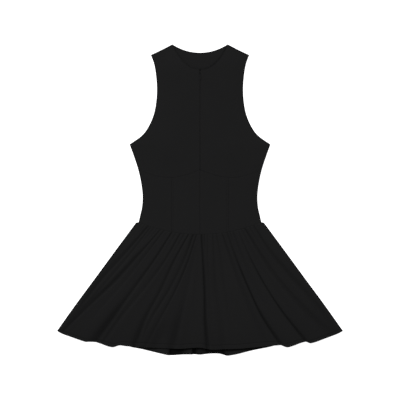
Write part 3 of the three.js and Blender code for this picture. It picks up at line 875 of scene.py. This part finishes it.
def makeUpperFront(name, side):
    form = upperForm
    turn, armStart = form["turn"], form["armStart"]
    neckX = slot[0]["half"]
    bottom = dress["underbustDrop"] - dress["join"] / 2

    def near(u):
        x = lerp(slot[-1]["half"], sideX(dress["underbustDrop"]), u)
        return line(x, underbust(x) - dress["join"] / 2)

    def far(u):
        along = np.minimum(u / turn, 1)
        x = lerp(neckX, dress["neckHalf"], 1 - (1 - along) ** form["neckEase"])
        x = np.where(u > turn, lerp(dress["neckHalf"], dress["shoulderX"], (u - turn) / (1 - turn)), x)
        return line(x, np.where(u > turn, shoulderDrop(x), neckDrop(x, "front")))

    def left(v):
        drop = lerp(bottom, neckDrop(neckX, "front"), v)
        return line(slotHalf(drop), drop)

    def right(v):
        underarm = armhole[-1]["drop"]
        below = lerp(bottom, underarm, np.minimum(v / armStart, 1))
        above = lerp(underarm, dress["shoulderDrop"], (v - armStart) / (1 - armStart))
        drop = np.where(v > armStart, above, below)
        return line(outerX(drop), drop)

    neckline = places(form["neckLong"], form["acrossStep"], end=False)
    us = inTwo(neckline, places(form["shoulderLong"], form["acrossStep"], start=False), turn)
    sideEdge = places(form["sideLong"], form["sideStep"], end=False)
    vs = inTwo(sideEdge, places(form["armLong"], form["armStep"], start=False), armStart)
    flat = panelGrid(near, far, left, right, us, vs)
    flat[..., 0] *= side
    grid = raised(flat, softFrontHeight)
    seams = {"near": form["seamPress"], "left": form["zipPress"]}
    # painted shade along the neck edge
    rims = {"far": form["neckEdgeShade"] + form["leftShade"] * side}
    return clothShell(name, grid, flat, knit, seams=seams, rims=rims)


# Midriff panels, pressed down a little along their seams and along the topstitching
# Its tone is painted shade along the topstitching
topstitch = {"x": 70.8, "deep": 0.22, "half": 0.9, "tone": 0.14, "shadeHalf": 1}
midriffForm = {
    "wide": 78,  # lengths that set the number of points
    "acrossStep": 1.6,
    "long": 150,
    "alongStep": 3,
    "top": 0.12,  # how deep each seam is pressed in
    "bottom": 0.05,
    "princess": 0.05,
    "centre": 0.3,
    # painted shade along the outer edge
    "outerEdgeShade": 0.8,
}


def midriffHeight(x, drop):
    dent = topstitch["deep"] * bell(np.abs(x) - topstitch["x"], topstitch["half"])
    return softFrontHeight(x, drop) - dent


def makeMidriffPanel(name, side, inner, outer):  # a side panel has no outer line but the side seam
    form = midriffForm
    seam = dress["join"] / 2

    def edgeAt(v):
        drop = lerp(dress["underbustDrop"], dress["waistEndDrop"], v)
        return np.full(np.shape(v), outer, float) if outer else sideX(drop)

    def near(u):
        x = lerp(inner, edgeAt(0), u)
        return line(x, underbust(x) + seam)

    def far(u):
        x = lerp(inner, edgeAt(1), u)
        return line(x, waistSeam(x) - seam)

    us = places(form["wide"], form["acrossStep"])
    vs = places(form["long"], form["alongStep"])
    upper, lower = near(us), far(us)
    drop = lerp(upper[None, :, 1], lower[None, :, 1], vs[:, None])
    x = lerp(inner, edgeAt(vs)[:, None], us[None])
    flat = line(side * x, drop)
    seams = {"near": form["top"], "far": form["bottom"], "left": form["centre" if outer else "princess"]}
    if outer:
        seams["right"] = form["princess"]
    # painted shade along the topstitching
    shade = topstitch["tone"] * bell(np.abs(flat[..., 0]) - topstitch["x"], topstitch["shadeHalf"])
    rims = {"right": form["outerEdgeShade"]}
    return clothShell(name, raised(flat, midriffHeight), flat, knit, seams=seams, shade=shade, rims=rims)


# Skirts. The front's grid follows its folds, so that each is sharp from the waist to the hem.
hemSteps = (15, 13.4, 12.3, 11.7, 11.3, 10.9, 10.3, 9, 6.5, 4.2, 2.6, 1.6, 1, 0.6, 0.3, 0.1, 0)
hemStitch = {
    "above": 11.3,  # the hem, one of hemSteps
    "deep": 0.4,
    "half": 0.8,
    # painted shade along the hem stitching, and its half width
    "tone": 0.24,
    "shadeHalf": 1.1,
    "atSides": 0.55,  # the turned hem shows narrower there
    "narrowFrom": 150,
    "narrowOver": 180,
}
skirtGrid = {
    "bodyLong": 330,  # length that sets the number of rows
    "frontRow": 4.2,
    "backRow": 6,
    "frontColumn": 2.1,
    "backColumn": 3.1,
    "gatherColumns": 6,  # at least, from one gather to the next
    "backEnd": 370,  # where the back's even columns end
    "seamPress": 0.85,
    # painted shade along the sides, the hem and the back's hem
    "sideEdgeShade": 0.8,
    "hemEdgeShade": 0.2,
    "backHemEdgeShade": 1.4,
    "backDent": 0.5,  # of the front hem's
    "shadeStart": 60,  # length over which the painted shade on the back's inside grows below the waist
}


def hemBand(hemX):  # how wide the turned hem shows against its middle
    out = smooth((np.abs(hemX) - hemStitch["narrowFrom"]) / hemStitch["narrowOver"])
    return lerp(1, hemStitch["atSides"], out)


def hemRows(hemX, columnLength, step):  # shares of each column's length, with set distances from the hem
    body = places(skirtGrid["bodyLong"], step, end=False)
    steps = np.array(hemSteps)[:, None] * hemBand(hemX)[None]
    lower = 1 - steps / columnLength[None]
    upper = body[:-1, None] * lower[:1]
    return np.concatenate([upper, lower])


def besideStitch(hemX, t, columnLength):  # distance up from the hem stitching
    return (1 - t) * columnLength[None] - hemStitch["above"] * hemBand(hemX)[None]


def hemDent(hemX, t, columnLength):
    return hemStitch["deep"] * bell(besideStitch(hemX, t, columnLength), hemStitch["half"])


skirtCut = {"waist": 0.68, "hem": 1.06}  # widths of the cut against the laid hem's, before gathering


def skirtMap(hemX, t, length):
    return line(hemX * lerp(skirtCut["waist"], skirtCut["hem"], t), t * length)


def frontColumns():  # each is the fold line on its left and its share of the way to the next
    columns = []
    for k, (here, after) in enumerate(zip(foldLines, foldLines[1:])):
        least = skirtGrid["gatherColumns"] * (here["gathers"] + 1)
        count = max(least, math.ceil((after["hem"] - here["hem"]) / skirtGrid["frontColumn"]))
        columns += [(k, i / count) for i in range(count)]
    columns.append((len(foldLines) - 2, 1))
    return columns


def columnX(entry, t):
    k, between = entry
    return lerp(foldLines[k]["at"](t), foldLines[k + 1]["at"](t), between)


def makeFrontSkirt():
    columns = frontColumns()
    ends = np.array([(columnX(entry, 0.0), columnX(entry, 1.0)) for entry in columns])
    waistX, hemX = ends[:, 0], ends[:, 1]
    start = skirtTop(waistX) - dress["turnIn"]
    length = frontHemDrop(hemX) - start
    t = hemRows(hemX, length, skirtGrid["frontRow"])
    x = np.stack([columnX(entry, t[:, i]) for i, entry in enumerate(columns)], axis=1)
    drop = start[None] + length[None] * t
    height = frontSkirtHeight(x, t, np.broadcast_to(waistX, t.shape), drop) - hemDent(hemX, t, length)
    grid = np.stack([x, topY - drop, height], axis=-1)
    uv = skirtMap(hemX[None], t, length[None])
    print("front skirt grid", grid.shape)
    seams = {"near": skirtGrid["seamPress"]}
    rims = {"left": skirtGrid["sideEdgeShade"], "right": skirtGrid["sideEdgeShade"], "far": skirtGrid["hemEdgeShade"]}
    # painted shade along the hem stitching
    stitchShade = hemStitch["tone"] * bell(besideStitch(hemX, t, length), hemStitch["shadeHalf"])
    shade = frontSkirtShade(x, t) + stitchShade
    piece = clothShell("frontSkirt", grid, uv, knit, seams=seams, shade=shade, rims=rims)
    return piece, grid


# Painted shade and painted shadow on the back hem's inside, across it: beside the folds, and close under the
# front's edge
hemInside = table("x inside under", [
    (-200, 0, 0), (-120, 0.15, 0), (-92, 0, 0.1), (-84, 0.3, 1.2), (-80, 1.5, 1.4), (-50, 1.4, 1.4),
    (-40, 0.7, 1.3), (-27, 0.2, 0.9), (-23, 0.2, 0.9), (-20, 1.6, 1.4), (-11, 1.6, 1.7), (-8, 0.6, 1.8),
    (12, 0.6, 1.8), (17, 1.4, 1.6), (62, 1.5, 1.6), (67, 0.9, 1.6), (72, 0.4, 1.3), (100, 0.4, 0.9),
    (140, 0.6, 0.8), (200, 0.6, 0.6),
])
hemInsidePaintedShade = {
    "covered": 1.4,  # painted shade where the front covers it
    "underReach": 5,  # how far the painted shadow close under the front's edge reaches
}


def hemInsideShade(x, beyond):  # painted shade and shadow; beyond is how far below the front's hem a point lies
    xs = [row["x"] for row in hemInside]
    inside, under = (np.interp(x, xs, [row[name] for row in hemInside]) for name in ("inside", "under"))
    shown = np.maximum(inside, under * bell(beyond, hemInsidePaintedShade["underReach"]))
    return np.where(beyond < 0, hemInsidePaintedShade["covered"], shown)


def makeBackSkirt():
    lines = [skirtEdge(-1), *backFolds, skirtEdge(1)]
    waists = np.array([entry["waist"] for entry in lines], float)
    hems = np.array([entry["hem"] for entry in lines], float)
    atSide = np.array(edgeSteps)
    end, step = skirtGrid["backEnd"], skirtGrid["backColumn"]
    even = np.arange(-end, end + 0.1, step)
    hemX = np.concatenate([atSide - dress["hemHalf"], even, dress["hemHalf"] - atSide[::-1]])
    waistX = np.interp(hemX, hems, waists)
    start = skirtTop(waistX) + dress["join"] / 2
    length = backHemDrop(hemX) - start
    t = hemRows(hemX, length, skirtGrid["backRow"])
    x = lerp(waistX[None], hemX[None], t)
    drop = start[None] + length[None] * t
    height = backSkirtHeight(x, drop) - hemDent(hemX, t, length) * skirtGrid["backDent"]
    height = np.maximum(height, dress["cloth"] / 2)
    grid = np.stack([x, topY - drop, height], axis=-1)
    uv = skirtMap(hemX[None], t, length[None])
    # painted shade on the back's inside, growing below the waist
    below = smooth((drop - dress["waistDrop"]) / skirtGrid["shadeStart"])
    shade = hemInsideShade(x, drop - frontHemDrop(x)) * below
    rims = {"far": skirtGrid["backHemEdgeShade"]}
    piece = clothShell("backSkirt", grid, uv, knit, seams={"near": 0}, shade=shade, rims=rims)
    return piece, grid


backBodice = makeBackBodice()
upperRight = makeUpperFront("upperFrontRight", -1)
upperLeft = makeUpperFront("upperFrontLeft", 1)
halfGap = dress["join"] / 2
panels = (("Centre", halfGap, dress["princessX"] - halfGap), ("Side", dress["princessX"] + halfGap, None))
midriffs = {}
for part, inner, outer in panels:
    for hand, side in (("Right", -1), ("Left", 1)):
        panel = makeMidriffPanel(f"midriff{part}{hand}", side, inner, outer)
        midriffs[f"front_midriff_{part.lower()}_{hand.lower()}"] = panel
print("bodice made")
frontSkirt, frontGrid = makeFrontSkirt()
backSkirt, backGrid = makeBackSkirt()
print("skirts made")


# Sewing thread: short round stitches along a line on the cloth, each end drawn down into it
stitch = {"pitch": 3.2, "long": 2.5, "radius": 0.2, "sides": 6}
stitchRings = table("along lift thick", [
    (0, -0.35, 0.35),
    (0.14, 0.02, 0.9),
    (0.5, 0.12, 1),
    (0.86, 0.02, 0.9),
    (1, -0.35, 0.35),
])


def stitchRow(name, path):
    rings = np.array([ring["along"] for ring in stitchRings])
    lift = np.array([ring["lift"] for ring in stitchRings])
    gaps = np.linalg.norm(np.diff(path, axis=0), axis=1)
    along = np.concatenate([[0], np.cumsum(gaps)])
    starts = np.arange(stitch["pitch"] / 2, along[-1] - stitch["pitch"], stitch["pitch"])
    count = stitch["sides"]
    angles = np.arange(count) / count * 2 * math.pi
    points, faces = [], []
    for start in starts:
        at = start + rings * stitch["long"]
        middle = np.stack([np.interp(at, along, path[:, axis]) for axis in range(3)], axis=1)
        middle[:, 2] += lift
        forward = middle[-1] - middle[0]
        sideways = np.cross(forward, (0, 0, 1))
        sideways /= np.linalg.norm(sideways)
        base = len(points) * count
        for centre, ring in zip(middle, stitchRings):
            circle = np.outer(np.cos(angles), sideways) + np.outer(np.sin(angles), (0, 0, 1))
            points.append(centre + circle * stitch["radius"] * ring["thick"])
        for r in range(len(rings) - 1):
            for s in range(count):
                low, after = base + r * count + s, base + r * count + (s + 1) % count
                faces.append((low, after, after + count, low + count))
        faces.append(tuple(base + s for s in reversed(range(count))))
        faces.append(tuple(base + (len(rings) - 1) * count + s for s in range(count)))
    vertices = np.concatenate(points)
    return meshObject(name, vertices, faces, vertices[:, :2], thread)


sewingEnds = {"hemColumns": 8, "topstitch": 1.5, "points": 60}  # free at each end, and the points between


def hemLine(grid):
    row = grid.shape[0] - len(hemSteps) + hemSteps.index(hemStitch["above"])
    path = grid[row, sewingEnds["hemColumns"]:-sewingEnds["hemColumns"]].copy()
    path[:, 2] += dress["cloth"] / 2
    return path


def topstitchLine(side):
    top = underbust(topstitch["x"]) + sewingEnds["topstitch"]
    bottom = waistSeam(topstitch["x"]) - sewingEnds["topstitch"]
    drop = np.linspace(top, bottom, sewingEnds["points"])
    x = np.full(drop.shape, side * topstitch["x"])
    return np.stack([x, topY - drop, midriffHeight(x, drop) + dress["cloth"] / 2], axis=1)


hemThread = stitchRow("frontHemStitches", hemLine(frontGrid))
backThread = stitchRow("backHemStitches", hemLine(backGrid))
threadRight = stitchRow("topstitchRight", topstitchLine(-1))
threadLeft = stitchRow("topstitchLeft", topstitchLine(1))
print("stitches made")


# Zip: woven tapes under the front edges, with a coil along each
tape = {
    "outer": 12.5,
    "thick": 1,
    "top": 67,
    "bottom": 342,
    "opening": 1.25,  # how much wider than the slot the tapes part
    "wide": 12.3,  # lengths that set the number of points
    "acrossStep": 1.2,
    "alongStep": 2.5,
}
coil = {
    "pitch": 1.1,
    "wide": 0.8,
    "tall": 0.7,
    "wire": 0.22,
    "turnSteps": 8,
    "start": 2,  # below the tape's top
    "spare": 6,  # length of tape without coil, at both ends
    "overlap": 0.1,  # over the tape's edge
}
wireCorners = ((1, 0), (0, 1), (-1, 0), (0, -1))


def tapeInner(drop):
    return halfGap + (slotHalf(drop) - slot[-1]["half"]) * tape["opening"]


def makeTape(name, side):
    long = tape["bottom"] - tape["top"]
    drops = tape["top"] + places(long, tape["alongStep"]) * long
    us = places(tape["wide"], tape["acrossStep"])
    inner = tapeInner(drops)[:, None]
    flat = line(side * lerp(inner, tape["outer"], us[None]), drops[:, None])
    below = dress["cloth"] / 2 + dress["seamGap"] + tape["thick"] / 2
    grid = raised(flat, lambda x, drop: frontHeight(x, drop) - below)
    return clothShell(name, grid, flat, tapeWeave, thick=tape["thick"])


def makeCoil(name, side):
    turns = (tape["bottom"] - tape["top"] - coil["spare"]) / coil["pitch"]
    steps = int(turns * coil["turnSteps"])
    turn = np.arange(steps + 1) / coil["turnSteps"]
    phase = turn * 2 * math.pi
    offset = 0.5 if side > 0 else 0  # the left coil's turns lie between the right one's
    drop = tape["top"] + coil["start"] + (turn + offset) * coil["pitch"]
    centreX = tapeInner(drop) + coil["wide"] - coil["overlap"]
    centreZ = frontHeight(centreX, drop) - dress["cloth"] / 2 - dress["seamGap"] - tape["thick"] / 2
    pathX = side * (centreX + coil["wide"] * np.cos(phase))
    path = np.stack([pathX, topY - drop, centreZ + coil["tall"] * np.sin(phase)], axis=1)
    forward = np.gradient(path, axis=0)
    forward /= np.linalg.norm(forward, axis=1, keepdims=True)
    sideways = np.cross(forward, (0, 1, 0))
    sideways /= np.linalg.norm(sideways, axis=1, keepdims=True)
    other = np.cross(forward, sideways)
    rings = np.stack([path + coil["wire"] * (a * sideways + b * other) for a, b in wireCorners], axis=1)
    vertices = rings.reshape(-1, 3)
    count = len(wireCorners)
    faces = []
    for r in range(steps):
        for s in range(count):
            low, after = r * count + s, r * count + (s + 1) % count
            faces.append((low, after, after + count, low + count))
    faces.append(tuple(reversed(range(count))))
    faces.append(tuple(steps * count + s for s in range(count)))
    return meshObject(name, vertices, faces, vertices[:, :2], lacquer)


tapeRight = makeTape("zipTapeRight", -1)
tapeLeft = makeTape("zipTapeLeft", 1)
coilRight = makeCoil("zipCoilRight", -1)
coilLeft = makeCoil("zipCoilLeft", 1)
print("zip tapes and coils made")


# Slider and pull, placed by the solids' own boxes
def deselectAll():
    if bpy.context.object and bpy.context.object.mode != "OBJECT":
        bpy.ops.object.mode_set(mode="OBJECT")
    bpy.ops.object.select_all(action="DESELECT")


def editing(piece, pick):  # selects what pick names, ready for an edit mode operator
    bpy.ops.object.mode_set(mode="EDIT")
    bpy.ops.mesh.select_mode(type="VERT")
    bpy.ops.mesh.select_all(action="DESELECT")
    bpy.ops.object.mode_set(mode="OBJECT")
    for vertex in piece.data.vertices:
        vertex.select = pick(vertex.co)
    for edge in piece.data.edges:
        edge.select = all(piece.data.vertices[v].select for v in edge.vertices)
    for face in piece.data.polygons:
        face.select = all(piece.data.vertices[v].select for v in face.vertices)
    bpy.ops.object.mode_set(mode="EDIT")


rounding = {"smooth": 40, "from": 35, "steps": 3}  # degrees: smooth below the one, bevelled above the other


def bevelled(piece, width):
    bpy.ops.object.shade_smooth_by_angle(angle=math.radians(rounding["smooth"]))
    made = piece.modifiers.new("bevel", "BEVEL")
    made.width = width
    made.segments = rounding["steps"]
    made.limit_method = "ANGLE"
    made.angle_limit = math.radians(rounding["from"])
    made.harden_normals = True
    bpy.ops.object.modifier_apply(modifier=made.name)


def settle(piece, name, material):  # place into the mesh, with faces outwards
    bpy.ops.object.mode_set(mode="OBJECT")
    bpy.ops.object.transform_apply(location=True, rotation=True, scale=True)
    bpy.ops.object.mode_set(mode="EDIT")
    bpy.ops.mesh.select_all(action="SELECT")
    bpy.ops.mesh.remove_doubles(threshold=1e-6)
    bpy.ops.mesh.normals_make_consistent(inside=False)
    bpy.ops.object.mode_set(mode="OBJECT")
    piece.name = piece.data.name = name
    piece.data.materials.clear()
    piece.data.materials.append(material)


pullLow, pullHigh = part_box("zip_pull")
sliderLow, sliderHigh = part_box("zip_slider")
pivot = Vector(frame["joints"][0]["pos_m"])
tiny = 1e-5  # what an edge may be off when it is picked by its place
pullSize = {
    "bellyHalf": 0.0029,
    "headHalf": 0.002,
    "windowHalf": 0.0009,
    "windowEnd": 0.0041,  # below the pin
    "windowFlat": 0.45,  # how flat its top is against a half circle
    "points": 32,  # round each circle
    "bevel": 0.00022,
}


def addCircle(radius, y):
    bpy.ops.mesh.primitive_circle_add(
        vertices=pullSize["points"], radius=radius, fill_type="NOTHING", location=(0, y, pullLow.z)
    )


def makePull():
    thick = pullHigh.z - pullLow.z
    belly = pullLow.y + pullSize["bellyHalf"]
    deselectAll()
    addCircle(pullSize["bellyHalf"], belly)
    piece = bpy.context.object
    bpy.ops.object.transform_apply(location=True, rotation=True, scale=True)
    head = pullHigh.y - belly - pullSize["bellyHalf"]
    editing(piece, lambda co: co.y > belly + tiny)
    bpy.ops.transform.translate(value=(0, head, 0))
    share = pullSize["headHalf"] / pullSize["bellyHalf"]
    bpy.ops.transform.resize(value=(share, share, 1), center_override=(0, pullHigh.y, pullLow.z))
    bpy.ops.mesh.select_all(action="DESELECT")
    window = pullSize["windowHalf"]
    windowY = pivot.y - pullSize["windowEnd"] + window
    addCircle(window, windowY)
    editing(piece, lambda co: windowY + tiny < co.y < windowY + window + tiny and abs(co.x) < window + tiny)
    windowTop = pivot.y - thick / 2
    bpy.ops.transform.translate(value=(0, windowTop - windowY - window, 0))
    bpy.ops.transform.resize(value=(1, pullSize["windowFlat"], 1), center_override=(0, windowTop, pullLow.z))
    bpy.ops.mesh.select_mode(type="EDGE")
    bpy.ops.mesh.select_all(action="SELECT")
    bpy.ops.mesh.fill(use_beauty=True)
    bpy.ops.mesh.select_all(action="SELECT")
    bpy.ops.mesh.extrude_region_move(TRANSFORM_OT_translate={"value": (0, 0, thick)})
    settle(piece, "zipPull", lacquer)
    bevelled(piece, pullSize["bevel"])
    return piece


sliderSize = {
    "thick": 0.0017,
    "narrow": 0.75,  # share of its width that is left at the lower end
    "tube": 0.00045,
    "tubeWide": 1.3,  # the bridge is a little wider than it is thick
    "arch": 0.00255,
    "archPoints": 28,
    "tubePoints": 10,
    "bevel": 0.0004,
}


def makeSlider():
    middle = (sliderLow + sliderHigh) / 2
    wide, long = sliderHigh.x - sliderLow.x, sliderHigh.y - sliderLow.y
    deselectAll()
    bodyZ = sliderLow.z + sliderSize["thick"] / 2
    size = (wide, long, sliderSize["thick"])
    bpy.ops.mesh.primitive_cube_add(size=1, location=(0, middle.y, bodyZ), scale=size)
    body = bpy.context.object
    bpy.ops.object.transform_apply(location=True, rotation=True, scale=True)
    editing(body, lambda co: co.y < middle.y)
    bpy.ops.transform.resize(value=(sliderSize["narrow"], 1, 1), center_override=(0, sliderLow.y, bodyZ))
    settle(body, "zipSliderBody", lacquer)
    bevelled(body, sliderSize["bevel"])

    deselectAll()
    archZ = sliderHigh.z - sliderSize["arch"] - sliderSize["tube"]
    bpy.ops.mesh.primitive_torus_add(
        major_radius=sliderSize["arch"],
        minor_radius=sliderSize["tube"],
        major_segments=sliderSize["archPoints"],
        minor_segments=sliderSize["tubePoints"],
        location=(0, pivot.y, archZ),
        rotation=(0, math.pi / 2, 0),
    )
    arch = bpy.context.object
    bpy.ops.object.transform_apply(location=True, rotation=True, scale=True)
    editing(arch, lambda co: co.z < archZ - tiny)
    legs = archZ - sliderSize["arch"] - bodyZ
    bpy.ops.transform.translate(value=(0, 0, -legs))
    bpy.ops.mesh.select_all(action="SELECT")
    bpy.ops.transform.resize(value=(sliderSize["tubeWide"], 1, 1), center_override=(0, pivot.y, archZ))
    settle(arch, "zipSliderBridge", lacquer)
    bpy.ops.object.shade_smooth()
    return body, arch


pullPiece = makePull()
sliderBody, sliderBridge = makeSlider()
print("slider and pull made")


# What rides where, and which solids each piece stands for
worn = {
    backBodice: "back_bodice",
    backSkirt: "back_skirt",
    upperRight: "front_upper_right",
    upperLeft: "front_upper_left",
    frontSkirt: "front_skirt",
    tapeRight: "zip_tape_right",
    tapeLeft: "zip_tape_left",
    sliderBody: "zip_slider",
}
for node, piece in midriffs.items():
    worn[piece] = node
for piece, node in worn.items():
    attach(piece, "dress")
    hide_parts(node)
added = (hemThread, backThread, threadRight, threadLeft, coilRight, coilLeft, sliderBridge)
for piece in added:
    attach(piece, "dress")
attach(pullPiece, "pull")
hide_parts("zip_pull")

# Cloth sheets: how each is held, what it lies on and the sewing on it
sheets = [
    (backBodice, "laid", ["floor"], []),
    (backSkirt, "gathered", ["floor"], [backThread]),
    (upperRight, "laid", [backBodice], []),
    (upperLeft, "laid", [backBodice], []),
    (frontSkirt, "gathered", [backSkirt], [hemThread]),
    (tapeRight, "laid", [backBodice], [coilRight]),
    (tapeLeft, "laid", [backBodice], [coilLeft]),
]
stitched = {"front_midriff_centre_right": [threadRight], "front_midriff_centre_left": [threadLeft]}
for node, piece in midriffs.items():
    sheets.append((piece, "laid", [backBodice], stitched.get(node, [])))
for piece, held, under, sewing in sheets:
    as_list(under)
    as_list(sewing)


# Floor, light and camera
studio = {
    "floorSize": 60,
    "floorGap": 0.0004,  # below the cloth
    "floorColour": (0.82, 0.82, 0.82),
    "floorRoughness": 0.9,
    "floorSpecular": 0.1,
    "floorGlow": 0.9,
    "skyStrength": 0.3,
    "keyStrength": 2.3,
    "keySpread": 22,  # degrees
    "keyPlace": (-0.45, 0.89, 1.28),
}


def makeFloor():
    deselectAll()
    bpy.ops.mesh.primitive_plane_add(size=studio["floorSize"], location=(0, 0, -studio["floorGap"]))
    floor = bpy.context.object
    floor.name = "floor"
    material, tree, shader = newMaterial("paleFloor")
    setInputs(shader, {
        "Base Color": (*studio["floorColour"], 1),
        "Roughness": studio["floorRoughness"],
        "Specular IOR Level": studio["floorSpecular"],
        "Emission Color": (1, 1, 1, 1),
        "Emission Strength": studio["floorGlow"],
    })
    floor.data.materials.append(material)


def keyLight():  # a soft distant light from beyond the right shoulder
    data = bpy.data.lights.new("key", "SUN")
    data.energy = studio["keyStrength"]
    data.angle = math.radians(studio["keySpread"])
    light = bpy.data.objects.new("key", data)
    light.location = studio["keyPlace"]
    light.rotation_euler = Vector(studio["keyPlace"]).to_track_quat("Z", "Y").to_euler()
    bpy.context.scene.collection.objects.link(light)


makeFloor()
keyLight()
world = bpy.data.worlds.new("studio")
bpy.context.scene.world = world
world.use_nodes = True
setInputs(world.node_tree.nodes["Background"], {"Color": (1, 1, 1, 1), "Strength": studio["skyStrength"]})
bpy.context.scene.view_settings.view_transform = "Standard"

view = {"across": 1.06, "lens": 85, "sensor": 36}  # 400 pixels show 1.06 m
camera = bpy.data.objects.new("camera", bpy.data.cameras.new("camera"))
camera.data.lens = view["lens"]
camera.data.sensor_width = view["sensor"]
camera.location = (0, 0, view["across"] * view["lens"] / view["sensor"])
bpy.context.scene.collection.objects.link(camera)
bpy.context.scene.camera = camera
print("stage set")
